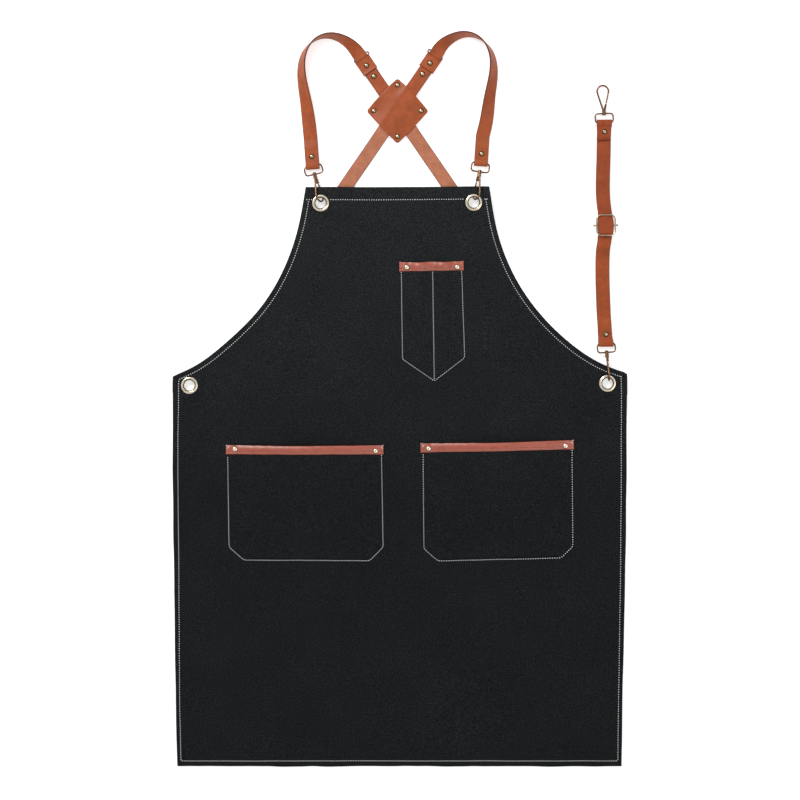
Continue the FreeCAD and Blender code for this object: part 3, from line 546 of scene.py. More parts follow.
# ---------------------------------------------------------------- apron body
def apron_body():
    rows, cols = 270, 205
    share = np.linspace(0, 1, rows)
    u = np.linspace(0, 1, cols)
    y_left = BOTTOM_Y + share * (BIB_LEFT[1] - BOTTOM_Y)
    y_right = BOTTOM_Y + share * (BIB_RIGHT[1] - BOTTOM_Y)
    x = edge_x(LEFT_EDGE, y_left)[:, None] * (1 - u) + edge_x(RIGHT_EDGE, y_right)[:, None] * u
    y = y_left[:, None] * (1 - u) + y_right[:, None] * u
    low = np.exp(-((y - BOTTOM_Y) / 60.0) ** 2)
    y = y + low * (1.1 * noise_row(x, 55.0, 1.0) + 0.6 * noise_row(x, 21.0, 2.0))
    side = (2 * u - 1) ** 9 * (y < WAIST_LEFT[1] - 25)
    x = x + side * (0.8 * noise_row(y, 70.0, 3.0) - 0.3)
    x, y = x.ravel(), y.ravel()
    faces = grid_faces(rows, cols)
    hole = 9.6
    for ex, ey in EYELETS.values():
        r = np.hypot(x - ex, y - ey)
        near = np.abs(r - hole) < 1.7
        pull = hole / np.maximum(r, 1e-6)
        x = np.where(near, ex + (x - ex) * pull, x)
        y = np.where(near, ey + (y - ey) * pull, y)
        centre = np.stack([x[faces].mean(1) - ex, y[faces].mean(1) - ey], axis=1)
        faces = faces[np.hypot(*centre.T) > hole]
    base = panel_field.at(x, y)
    top = np.stack([x, y, base + panel_thickness(x, y)], axis=1)
    verts, every = closed_sheet(top, np.stack([x, y, base], axis=1), faces)
    obj = add_mesh("apron_cloth", verts, every, ROOT, [CANVAS], ["apron_panel"])
    return obj


# ---------------------------------------------------------------- stitches
def stitch_block(path, lift):
    """Capsules along a path of (x, y, z) points in mm, each one a stitch lying on the cloth."""
    spots, along = resample(path, STITCH_PITCH)
    stations = ((-0.5, 0.35), (-0.36, 0.9), (0.0, 1.0), (0.36, 0.9), (0.5, 0.35))
    sides = 6
    count = len(stations) * sides
    blocks = []
    faces = []
    for s in range(len(stations) - 1):
        for k in range(sides):
            n = (k + 1) % sides
            faces.append((s * sides + k, s * sides + n, (s + 1) * sides + n, (s + 1) * sides + k))
    faces.append(tuple(range(sides))[::-1])
    faces.append(tuple(range(count - sides, count)))
    for spot, run in zip(spots, along):
        if min(math.dist(spot[:2], eyelet) for eyelet in EYELETS.values()) < EYELET_OUT + STITCH_CLEARANCE:
            continue
        across = np.cross((0, 0, 1), run)
        across /= np.linalg.norm(across)
        up = np.cross(run, across)
        rings = []
        for place, size in stations:
            sunk = lift - 0.5 * STITCH_R * (abs(place) > 0.4)
            for k in range(sides):
                a = 2 * math.pi * k / sides
                rings.append(spot + run * place * STITCH_LENGTH + across * math.cos(a) * STITCH_R * size
                             + up * (math.sin(a) * STITCH_R * size + sunk))
        blocks.append((np.array(rings), faces))
    return blocks


def add_stitches(name, paths, body=ROOT, material=None, lift=0.16):
    blocks = []
    for path in paths:
        if len(path) > 1:
            blocks += stitch_block(path, lift)
    verts, faces = join_parts(blocks)
    return add_mesh(name, verts, faces, body, [material or THREAD])


def on_panel(path):
    path = np.asarray(path, float)
    return np.column_stack([path, panel_top(path[:, 0], path[:, 1])])


def side_seam(y):
    return np.interp(y, [BOTTOM_Y, WAIST_LEFT[1]], [SEAM_FOOT, SEAM_WAIST])


SEAMED = [(LEFT_SIDE, side_seam), (RIGHT_SIDE, side_seam), (BOTTOM_EDGE, lambda y: 0 * y + SEAM_EDGE),
          (LEFT_ARM, lambda y: 0 * y + SEAM_EDGE), (RIGHT_ARM, lambda y: 0 * y + SEAM_EDGE),
          (TOP_EDGE, lambda y: 0 * y + SEAM_TOP)]


def seam_path(chosen):
    """The chosen edge moved inwards by its seam's inset, ending where the neighbours' seams cross it."""
    edge, inset = SEAMED[chosen]
    dense = np.concatenate([line_points(a, b, 1.0)[:-1] for a, b in zip(edge[:-1], edge[1:])] + [edge[-1:]])
    along = np.gradient(dense, axis=0)
    along /= np.linalg.norm(along, axis=1)[:, None]
    normal = np.column_stack([-along[:, 1], along[:, 0]])
    flip = np.sign(np.sum((np.array([0.0, -150.0]) - dense) * normal, axis=1))
    path = dense + normal * (flip * inset(dense[:, 1]))[:, None]
    path += normal * (0.35 * noise_row(dense[:, 0] + dense[:, 1], 45.0, chosen))[:, None]
    clear = np.ones(len(path), bool)
    for k, (other, gap) in enumerate(SEAMED):
        if k != chosen and not (chosen == 5 and k < 3):
            beyond = SEAM_IN_TOP if chosen == 5 else 0.0
            clear &= distance_to(other, path[:, 0], path[:, 1]) > gap(path[:, 1]) * (1 - beyond) - 0.3
    return path[clear]


SEAM_IN_TOP = 0.75      # the top row runs on past the armhole rows by this share of their inset


def panel_seams():
    add_stitches("hem_stitching", [on_panel(seam_path(k)) for k in range(len(SEAMED))])


# ---------------------------------------------------------------- rivets and eyelets
DOME = [(0, 1.75), (1.0, 1.7), (2.0, 1.48), (2.9, 1.08), (3.45, 0.66), (3.6, 0.42), (3.75, 0.42), (3.95, 0.25),
        (4.0, 0.0), (3.6, -0.25), (0, -0.25)]
BACK_DISC = [(0, -0.75), (2.6, -0.72), (3.3, -0.5), (3.5, -0.1), (3.2, 0.15), (0, 0.15)]


RIM_R, SMALL_RIM_R = 2.9, 2.0       # where a cap's bright crown ends and its rim of painted shade begins, on the pockets and on the straps


def rim_picks(verts, faces, beyond):
    """1 for each face whose middle lies further from the axis than the given radius."""
    return [int(np.hypot(*verts[list(face)].mean(0)[:2]) > beyond) for face in faces]


def rivet_set(name, spots, body, replaces, crown=SMALL_RIM_R, plate=None):
    """Domed caps at (x, y, front height, back height) spots, with their flat back caps."""
    parts, picks = [], []
    for x, y, front, back in spots:
        for profile, z in ((DOME, front), (BACK_DISC, back)):
            verts, faces = lathe(profile)
            parts.append((verts + (x, y, z), faces))
            # painted shade: faces beyond the crown take the dark rim gold
            picks += rim_picks(verts, faces, crown)
    verts, faces = join_parts(parts)
    return add_mesh(name, verts, faces, body, [plate or RIVET_GOLD, SHADED_GOLD_RIM], replaces, picks,
                    sharp=50)


def eyelets():
    out, hole = EYELET_OUT, EYELET_HOLE
    flange = [(hole, -1.9), (hole + 0.05, -0.5), (hole + 0.3, 0.3), (hole + 0.9, 0.85),
              (hole + 1.6, 1.2), (hole + 2.4, 1.35),
              (out - 1.5, 1.25), (out - 0.8, 0.95), (out - 0.3, 0.5), (out, -0.1), (out - 0.5, -0.15),
              (hole + 1.2, -0.1), (hole + 0.7, -0.5), (hole + 0.6, -1.9)]
    washer = [(hole + 0.9, 0.1), (out - 1.2, 0.1), (out - 0.9, -0.2), (out - 1.4, -0.6), (hole + 1.6, -0.75),
              (hole + 0.9, -0.5)]
    washers = []
    for name, (x, y) in EYELETS.items():
        z = BODY_Z + CANVAS_T + (HEM_T if name.startswith("top") else 0.1)
        verts, faces = lathe(flange, 48)
        middles = [verts[list(face)].mean(0) for face in faces]
        # painted shade: the inner lip and the outer edge of each ring take the dark rim gold
        picks = [int(not hole + 1.5 < np.hypot(m[0], m[1]) < out - 0.4) for m in middles]
        add_mesh(name + "_ring", verts + (x, y, z), faces, ROOT, [PALE_GOLD, SHADED_GOLD_RIM], [name], picks,
                 sharp=60)
        verts, faces = lathe(washer, 40)
        washers.append((verts + (x, y, BODY_Z - 0.05), faces))
    verts, faces = join_parts(washers)
    add_mesh("eyelet_washer_rings", verts, faces, ROOT, [PALE_GOLD], ["eyelet_washers"], sharp=50)


# ---------------------------------------------------------------- pockets
POCKET_T, TRIM_W, SEAM_IN = 0.9, 12.5, 1.4


def eased(points, radius):
    """A polyline with its corners rounded off."""
    points = [np.array(p, float) for p in points]
    out = [points[0]]
    for a, b, c in zip(points[:-2], points[1:-1], points[2:]):
        r = min(radius, np.linalg.norm(a - b) / 2.2, np.linalg.norm(c - b) / 2.2)
        start, end = b + (a - b) / np.linalg.norm(a - b) * r, b + (c - b) / np.linalg.norm(c - b) * r
        for t in np.linspace(0, 1, 7):
            out.append((1 - t) ** 2 * start + 2 * t * (1 - t) * b + t * t * end)
    return np.array(out + [points[-1]])


def pushed_out(points, gap):
    """A polyline moved to the right of its own direction, mitred at its corners."""
    points = np.asarray(points, float)
    along = np.diff(points, axis=0)
    along /= np.linalg.norm(along, axis=1)[:, None]
    normal = np.column_stack([along[:, 1], -along[:, 0]])
    first, last = np.vstack([normal[:1], normal]), np.vstack([normal, normal[-1:]])
    return points + (first + last) * (gap / (1 + np.sum(first * last, axis=1)))[:, None]


class Pocket:
    """A patch pocket in local (u, v) about its mouth's middle; v runs up and the mouth is at v = 0.

    The seam is given in the apron's own x and y, from the mouth's right end down and round to its left end.
    """

    def __init__(self, name, mouth, tilt, seam, trim_half, rivets, gape, arches, seed, corner):
        self.name, self.mouth, self.turn, self.seed = name, mouth, math.radians(tilt), seed
        self.trim_half, self.gape = trim_half, gape
        self.arches = arches                    # (centre, half width) of each stretch that gapes
        self.seam = eased([self.local(*p) for p in seam], corner)
        self.edge = pushed_out(self.seam, SEAM_IN)
        self.rivets = [self.local(*p) for p in rivets]
        self.depth = -self.edge[:, 1].min()
        low = int(np.argmin(self.edge[:, 1]))
        self.right, self.left = self.edge[:low + 1][::-1], self.edge[low:]

    def world(self, u, v):
        c, s = math.cos(self.turn), math.sin(self.turn)
        return self.mouth[0] + u * c - v * s, self.mouth[1] + u * s + v * c

    def local(self, x, y):
        c, s = math.cos(self.turn), math.sin(self.turn)
        dx, dy = x - self.mouth[0], y - self.mouth[1]
        return dx * c + dy * s, dy * c - dx * s

    def arch(self, u):
        rise = np.zeros(np.shape(u))
        for centre, half in self.arches:
            t = np.clip((u - centre) / half, -1, 1)
            rise = np.maximum(rise, np.cos(t * math.pi / 2) ** 1.3)
        return rise

    def gap(self, u, v):
        """How far the cloth stands off the apron."""
        return 0.15 + self.gape * self.arch(u) * smoothstep(1 + v / self.depth) ** 0.8

    def surface(self, u, v):
        """Height of the back face of the pocket's cloth."""
        x, y = self.world(u, v)
        soft = 0.6 * fbm(x, y, 42.0, self.seed) * np.clip(self.gap(u, v) / 2, 0, 1)
        return panel_top(x, y) + self.gap(u, v) + soft

    def thickness(self, u, v):
        side = distance_to(self.edge, u, v)
        hem = smoothstep((8.5 - side) / 2)
        pucker = 0.2 * fbm(u, v, 7.0, self.seed) * np.exp(-(side / 6) ** 2)
        return POCKET_T + 0.5 * hem - 0.35 * np.exp(-((side - SEAM_IN) / 0.9) ** 2) + pucker

    def front(self, u, v):
        u, v = np.asarray(u, float), np.asarray(v, float)
        return self.surface(u, v) + self.thickness(u, v)

    def cloth(self, rows, cols, flat, area):
        v = np.linspace(-self.depth + 0.05, -0.6, rows)
        left = np.interp(v, self.left[:, 1], self.left[:, 0])
        right = np.interp(v, self.right[:, 1], self.right[:, 0])
        t = np.linspace(0, 1, cols)
        u = (left[:, None] * (1 - t) + right[:, None] * t).ravel()
        v = np.repeat(v, cols)
        x, y = self.world(u, v)
        back = self.surface(u, v)
        verts, faces = closed_sheet(np.stack([x, y, back + self.thickness(u, v)], axis=1),
                                    np.stack([x, y, back], axis=1), grid_faces(rows, cols))
        obj = add_mesh(self.name + "_cloth", verts, faces, ROOT, [CANVAS], [self.name])

    def trim_at(self, u, s):
        """Place (v, front height above the cloth's front) of the binding, s from 0 at its top to 1."""
        end = self.trim_half - np.abs(u)
        pinch = np.exp(-(np.minimum(*[np.abs(u - r[0]) for r in self.rivets]) / 6.0) ** 2)
        slack = (1 - pinch) * smoothstep(end / 8)
        sag = 0.9 * self.arch(u) + 0.35 * noise_row(u, 26.0, self.seed)
        flare = 1.0 * np.exp(-(end / 3.0) ** 2)
        top = 0.35 - sag + flare
        bottom = -TRIM_W - 0.35 * sag - 0.3 * flare + 0.35 * noise_row(u, 15.0, self.seed + 3)
        v = top + (bottom - top) * s
        body = np.sin(math.pi * np.clip(s, 0.02, 0.98) ** 0.8) ** 0.8
        crease = noise_row(u + 9 * s, 7.0, self.seed + 6) * (0.35 + 0.8 * np.exp(-((pinch - 0.4) / 0.3) ** 2))
        height = 0.7 + body * (0.5 + 1.3 * slack + 0.3 * crease)
        row = np.exp(-((s - 0.8) / 0.07) ** 2)
        height -= 0.5 * row * (1 + 0.5 * np.cos(2 * math.pi * u / 2.9))
        return v, height

    def trim(self):
        cols = int(self.trim_half * 2 / 0.75)
        n, lip = 17, 2.2
        us = np.linspace(-self.trim_half, self.trim_half, cols)
        rings = []
        for s in np.linspace(0, 1, n):
            v, height = self.trim_at(us, s)
            rings.append((v, height))
        v_low, v_top = rings[-1][0], rings[0][0]
        rings.append((v_low + 0.15, np.full(cols, 0.05)))
        rings.append((v_top - 0.75, np.full(cols, 0.05)))
        back = -POCKET_T - 0.2
        rings.append((v_top - 0.75, np.full(cols, back)))
        rings.append((v_top - lip, np.full(cols, back)))
        under = np.full(cols, back - 0.5)
        rings.append((v_top - lip, under))
        rings.append((v_top - 0.5, under))
        inner = np.clip(us, self.left[-1, 0] + 0.5, self.right[-1, 0] - 0.5)
        verts = []
        for v, height in rings:
            x, y = self.world(us, v)
            base = self.front(inner, np.minimum(v, -0.8))
            floor = panel_top(x, y) + 0.02
            verts.append(np.column_stack([x, y, np.maximum(base + height, floor)]))
        count = len(rings)
        verts = np.stack(verts, axis=1).reshape(-1, 3)
        faces = [(i * count + k, i * count + (k + 1) % count, (i + 1) * count + (k + 1) % count, (i + 1) * count + k)
                 for i in range(cols - 1) for k in range(count)]
        faces += [tuple(range(count))[::-1], tuple(range((cols - 1) * count, cols * count))]
        picks = [int(k in (n - 1, count - 1, count - 2)) for _ in range(cols - 1) for k in range(count)] + [1, 1]
        add_mesh(self.name + "_trim_leather", verts, faces, ROOT, [TRIM, TRIM_EDGE],
                 [self.name + "_trim"], picks, sharp=75)

    def height(self, u, v):
        """Front height wherever a seam runs: on the binding near the mouth, on the cloth below it."""
        low, _ = self.trim_at(u, 1.0)
        high, _ = self.trim_at(u, 0.0)
        s = np.clip((high - v) / (high - low), 0, 1)
        inner = np.clip(u, self.left[-1, 0] + 0.5, self.right[-1, 0] - 0.5)
        base = self.front(inner, np.minimum(v, -0.8))
        return base + np.where(v > low - 0.2, self.trim_at(u, s)[1], 0.0)

    def run(self, points):
        """Seam through local points, wandering a little, at the right height."""
        dense = np.concatenate([line_points(a, b, 2.5)[:-1] for a, b in zip(points[:-1], points[1:])])
        u = dense[:, 0] + 0.3 * noise_row(dense[:, 1], 30.0, self.seed)
        v = dense[:, 1] + 0.3 * noise_row(dense[:, 0], 30.0, self.seed + 1)
        x, y = self.world(u, v)
        return np.column_stack([x, y, self.height(u, v)])

    def sewn(self, extra=(), tails=False):
        """Pale rows below the binding, tan ones on it, and loose ends at the mouth's corners."""
        ends = [self.seam[0, 0], self.seam[-1, 0]]
        body = self.seam[self.seam[:, 1] < -TRIM_W - 0.8]
        first, last = (ends[0], -TRIM_W - 0.6), (ends[1], -TRIM_W - 0.6)
        paths = [self.run(np.concatenate([[first], body, [last]]))] + [self.run(np.array(e)) for e in extra]
        over = [self.run(np.array([(u, -0.6), (u, -TRIM_W + 0.6)])) for u in ends + [e[0][0] for e in extra]]
        if tails:
            for u, out in ((ends[0], 1), (ends[1], -1)):
                for a, b in (((u + out * 2.2, 1.2), (u - out * 0.4, -1.8)),
                             ((u - out * 2.6, -3.4), (u + out * 0.6, -1.4)),
                             ((u + out * 0.2, -2.0), (u + out * 0.2, -5.6))):
                    x, y = self.world(*np.array([a, b]).T)
                    z = self.height(np.array([u, u]), np.array([-3.0, -3.0])) + 0.3
                    paths.append(np.column_stack([x, y, z]))
        add_stitches(self.name + "_stitching", paths)
        add_stitches(self.name + "_binding_ends_stitching", over, material=TAN_THREAD)
        us = np.linspace(3 - self.trim_half, self.trim_half - 3, int(self.trim_half * 0.9))
        v, height = self.trim_at(us, 0.8)
        x, y = self.world(us, v)
        z = self.front(np.clip(us, self.left[-1, 0] + 0.5, self.right[-1, 0] - 0.5), v) + height
        add_stitches(self.name + "_trim_stitching", [np.column_stack([x, y, z])], material=TAN_THREAD)

    def riveted(self):
        spots = []
        for u, v in self.rivets:
            x, y = self.world(u, v)
            at = np.array([u]), np.array([v])
            spots.append((x, y, float(self.height(*at)[0]) - 0.25, float(panel_field.at(x, y))))
        rivet_set(self.name + "_rivet_caps", spots, ROOT, [self.name + "_rivets"], RIM_R, PALE_GOLD)


def noise_row(t, scale, seed):
    """Soft noise from -1 to 1 along a line."""
    flat = [noise.noise(Vector((a / scale, seed * 7.3, 0.5))) for a in np.ravel(t)]
    return np.array(flat).reshape(np.shape(t))


def pockets():
    left = Pocket("left_pocket", (-138.4, -66.9), 0.0,
                  [(-26.0, -69.0), (-27.0, -79.8), (-24.4, -214.1), (-44.4, -234.1),
                   (-226.9, -233.1), (-248.1, -214.1),
                   (-250.3, -79.8), (-250.6, -69.0)], 114.3, [(-239.7, -72.1), (-35.5, -74.7)], 8.0, [(0.0, 98.0)],
                  4.0, 4.0)
    left.cloth(84, 112, (0.246, 0.187), 0.0448)
    right = Pocket("right_pocket", (140.9, -61.9), 1.25,
                   [(249.9, -62.0), (249.7, -72.4), (251.1, -213.4), (233.7, -230.0), (55.1, -234.4), (34.8, -216.7),
                    (33.6, -77.9), (33.2, -66.0)], 111.3, [(41.6, -71.3), (240.4, -67.6)], 8.0, [(0.0, 95.0)],
                   5.0, 4.0)
    right.cloth(84, 110, (0.24, 0.19), 0.0446)
    chest = Pocket("chest_pocket", (45.6, 199.5), 0.9,
                   [(89.4, 199.0), (89.6, 186.4), (93.8, 60.8), (49.6, 26.9), (3.6, 58.8), (2.0, 185.0),
                    (1.9, 198.0)],
                   46.6, [(9.8, 191.8), (83.2, 192.2)], 4.6, [(-17.5, 13.5), (17.5, 13.5)], 8.0, 3.0)
    chest.cloth(92, 64, (0.111, 0.193), 0.0175)
    for pocket in (left, right, chest):
        pocket.trim()
        pocket.riveted()
    left.sewn(tails=True)
    right.sewn(tails=True)
    chest.sewn([[(1.7, -TRIM_W - 0.6), (1.4, -172.2)]])


# ---------------------------------------------------------------- straps
def corner_arc(cx, cy, r, a0, a1, count=6):
    angles = np.radians(np.linspace(a0, a1, count))
    return [(cx + r * math.cos(a), cy + r * math.sin(a)) for a in angles]


def s_curve(rise, radius):
    turn = math.degrees(math.acos(1 - abs(rise) / (2 * radius))) * (1 if rise > 0 else -1)
    return [("arc", radius, turn), ("arc", radius, -turn)]


def s_length(rise, radius):
    return 2 * radius * math.sin(math.acos(1 - abs(rise) / (2 * radius)))


def fold_moves(run, slack=0.2):
    drop = TAIL_Z - (FOLD_Z + FOLD_R)
    return ([("line", 24.0 + slack), ("arc", FOLD_R, -180.0), ("line", 2 * slack)] + s_curve(drop, DROP_R)
            + [("line", 26.0 - slack - s_length(drop, DROP_R))] + s_curve(LOW - TAIL_Z, 20.0) + [("line", run)])


def walked(x, z, heading, moves, origin, direction, rise=0.0):
    """Frames (centre, along, across) of a strap bent only along its length."""
    stops = [(x, z, heading)]
    for kind, size, *turn in moves:
        x, z, heading = stops[-1]
        a = math.radians(heading)
        if kind == "line":
            steps = max(1, int(size / 5.0))
            stops += [(x + size * k / steps * math.cos(a), z + size * k / steps * math.sin(a), heading)
                      for k in range(1, steps + 1)]
            continue
        turn = turn[0]
        sign = 1 if turn > 0 else -1
        cx, cz = x - sign * size * math.sin(a), z + sign * size * math.cos(a)
        steps = max(3, int(abs(turn) / 15))
        for k in range(1, steps + 1):
            b = math.radians(heading + turn * k / steps)
            stops.append((cx + sign * size * math.sin(b), cz - sign * size * math.cos(b), heading + turn * k / steps))
    d, r = math.radians(direction), math.radians(rise)
    ex = np.array([math.cos(d) * math.cos(r), math.sin(d) * math.cos(r), math.sin(r)])
    ey = np.array([-math.sin(d), math.cos(d), 0.0])
    ez = np.cross(ex, ey)
    return [(np.array(origin) + ex * px + ez * pz,
             ex * math.cos(math.radians(h)) + ez * math.sin(math.radians(h)), -ey)
            for px, pz, h in stops]


def ribboned(stations, step, thickness=STRAP_T):
    """Frames of a flat strap through (x, y, twist, base) stations, as the CAD model's ribbon."""
    stations = np.array(stations, float)
    knots = chord_knots(stations[:, :2])
    at = np.linspace(0, knots[-1], int(knots[-1] / step) + 1)
    plan = natural_spline(knots, stations[:, :2], at)
    ahead = natural_spline(knots, stations[:, :2], at + 0.5)
    back = natural_spline(knots, stations[:, :2], at - 0.5)
    twist = np.interp(at, knots, stations[:, 2])
    base = np.interp(at, knots, stations[:, 3])
    for values in (twist, base):
        for _ in range(4):
            values[1:-1] = (values[:-2] + 2 * values[1:-1] + values[2:]) / 4
    frames = []
    for p, a, b, t, z in zip(plan, ahead, back, np.radians(twist), base):
        along = np.array([*(a - b), 0.0])
        along /= np.linalg.norm(along)
        side = np.cross(along, (0, 0, 1))
        across = side * math.cos(t) + np.array((0, 0, 1)) * math.sin(t)
        height = z + STRAP_W / 2 * abs(math.sin(t)) + thickness / 2 * abs(math.cos(t))
        frames.append((np.array([*p, height]), along, across))
    return frames


def strap_mesh(name, frames, thickness, body, face, edge, replaces, width=STRAP_W, flares=()):
    """Sweeps a strap's section, with eased edges, along its frames; flares are (y, reach, extra width) spots."""
    w, t, r = width / 2, thickness / 2, 0.65
    section = [(-w, -t + r), (-w + 0.2, -t + 0.2), (-w + r, -t), (-w + 2.4, -t),
               (-w / 3, -t - 0.04), (w / 3, -t - 0.04),
               (w - 2.4, -t), (w - r, -t), (w - 0.2, -t + 0.2), (w, -t + r), (w, t - r), (w - 0.2, t - 0.2),
               (w - r, t), (w - 2.4, t), (w / 3, t + 0.04), (-w / 3, t + 0.04), (-w + 2.4, t), (-w + r, t),
               (-w + 0.2, t - 0.2), (-w, t - r)]
    edge_faces = {0, 1, 7, 8, 9, 10, 11, 17, 18, 19}
    n = len(section)
    rings = []
    for k, (centre, along, across) in enumerate(frames):
        normal = np.cross(along, across)
        ends = min(k, len(frames) - 1 - k)
        squeeze = 0.93 if ends == 0 else 1.0
        squeeze += sum(extra / width * math.exp(-((centre[1] - y) / reach) ** 4) for y, reach, extra in flares)
        push = along * (-0.3 if k == 0 else 0.3 if k == len(frames) - 1 else 0.0)
        rings.append([centre + push + across * a * squeeze + normal * b * (0.7 if ends == 0 else 1.0)
                      for a, b in section])
    verts = np.array(rings).reshape(-1, 3)
    count = len(frames)
    faces = [(i * n + k, i * n + (k + 1) % n, (i + 1) * n + (k + 1) % n, (i + 1) * n + k)
             for i in range(count - 1) for k in range(n)]
    faces += [tuple(range(n))[::-1], tuple(range((count - 1) * n, count * n))]
    picks = [1 if k in edge_faces else 0 for _ in range(count - 1) for k in range(n)] + [1, 1]
    return add_mesh(name, verts, faces, body, [face, edge], replaces, picks)


STRAP_ENDS = {"left": ((-126.9, 339.3), 94.2), "right": ((117.5, 343.2), 86.2)}
SHOULDER = [(-132.0, 400.0, 12.0), (-137.5, 438.0, 38.0), (-143.0, 478.0, 56.0), (-138.5, 503.0, 70.0),
            (-124.0, 521.0, 90.0), (-103.0, 527.5, 106.0), (-82.0, 521.5, 124.0), (-67.5, 510.5, 148.0)]
FOLD_SLACK = {"left": 1.9, "right": 1.1, "waist_lower": 1.0, "waist_upper": 0.8}
DROP_R = 6.0
RUN = math.degrees(math.atan2(PATCH_C[1] - 497.0, PATCH_C[0] + 57.0))
SPLICE = 12.0
SLEEVE_T, SLEEVE_PLAY, SLEEVE_FROM, SLEEVE_LENGTH = 1.5, 0.35, 69.1, 21.7
ADJUST_RIVET, SLEEVE_RIVET = 60.6, 79.5
ADJUST_BASE = TABLE_GAP + SLEEVE_T + SLEEVE_PLAY
SHIFT = {"left": 0.0, "right": 4.0}
BACK_STRAIGHT, BACK_TURN, BACK_TURN_R, BACK_TAIL = 135.0, 20.0, 500.0, 34.0
FOLD_END = 26.0 + s_length(LOW - TAIL_Z, 20.0)


def along_run(distance, mirror):
    a = math.radians(RUN + 180.0)
    return (PATCH_C[0] + distance * math.cos(a) * (-1 if mirror else 1), PATCH_C[1] + distance * math.sin(a))


def shoulder_straps():
    spots = []
    for side, ((x, y), direction) in STRAP_ENDS.items():
        mirror = side == "right"
        flip = -1 if mirror else 1
        through = LAYER_B if mirror else LAYER_A
        fold = walked(24.0, LOW, 180.0, fold_moves(0.5, FOLD_SLACK[side]), (x, y, 0), direction)
        end = fold[-1][0]
        bend = [(2 * PATCH_C[0] - px if mirror else px, py + (2.0 if mirror else 0.0), twist * flip, TABLE_GAP)
                for px, py, twist in SHOULDER]
        straight = [(98.0, ADJUST_BASE), (76.0, ADJUST_BASE), (56.0, ADJUST_BASE), (40.0, through),
                    (15.0, through), (-SPLICE, through)]
        run = [(*along_run(d, mirror), 180.0 * flip, base) for d, base in straight]
        ribbon = ribboned([(end[0], end[1], 0.0, TABLE_GAP)] + bend + run, 3.0)
        strap_mesh(side + "_shoulder_leather", fold + ribbon[1:], STRAP_T, ROOT, STRAP, STRAP_EDGE,
                   [side + "_shoulder_strap"])
        a = math.radians(direction)
        spots.append((x + 13.5 * math.cos(a), y + 13.5 * math.sin(a), TAIL_Z + STRAP_T / 2, TABLE_GAP))
    rivet_set("shoulder_strap_rivet_caps", spots, ROOT, ["shoulder_strap_rivets"])


def back_straps():
    spots = []
    for side in ("left", "right"):
        mirror = side == "right"
        out = 1 if mirror else -1
        through = LAYER_A if mirror else LAYER_B
        first, turn = math.radians(90.0 + RUN), math.radians(BACK_TURN)
        stations = [(*along_run(-d, not mirror), base)
                    for d, base in ((SPLICE + 0.3, through), (34.0, through), (58.0, TABLE_GAP),
                                    (96.0, TABLE_GAP), (BACK_STRAIGHT, TABLE_GAP))]
        sx, sy, _ = stations[-1]
        for share in (0.25, 0.5, 0.75, 1.0):
            lean = first - turn * share
            stations.append((sx + out * BACK_TURN_R * (math.cos(lean) - math.cos(first)),
                             sy - BACK_TURN_R * (math.sin(first) - math.sin(lean)), TABLE_GAP))
        lean = first - turn
        ex, ey, _ = stations[-1]
        stations.append((ex + out * BACK_TAIL * math.sin(lean), ey - BACK_TAIL * math.cos(lean), TABLE_GAP))
        ribbon = ribboned([(x, y, 0.0, base) for x, y, base in stations], 4.0, BACK_T)
        direction = math.degrees(math.atan2(math.cos(lean), -out * math.sin(lean)))
        a = math.radians(direction)
        reach = FOLD_END + 0.2
        bar = (stations[-1][0] - reach * math.cos(a), stations[-1][1] - reach * math.sin(a))
        low = TABLE_GAP + BACK_T / 2
        fold = walked(24.0, low, 180.0, fold_moves(0.2), (*bar, 0), direction)
        flipped = [(c, -along, across) for c, along, across in fold[::-1]]
        strap_mesh(side + "_back_leather", ribbon[:-1] + flipped, BACK_T, ROOT, FLESH, STRAP_EDGE,
                   [side + "_back_strap"])
        spots.append((bar[0] + 13.5 * math.cos(a), bar[1] + 13.5 * math.sin(a), low + STRAP_T + 0.1 + BACK_T / 2,
                      TABLE_GAP))
    rivet_set("back_strap_rivet_caps", spots, ROOT, ["back_strap_rivets"])


# ---------------------------------------------------------------- cross patch
PATCH_RIVETS = [(34.3, 0.0), (-34.3, 0.0), (0.0, 37.3), (0.0, -37.3)]


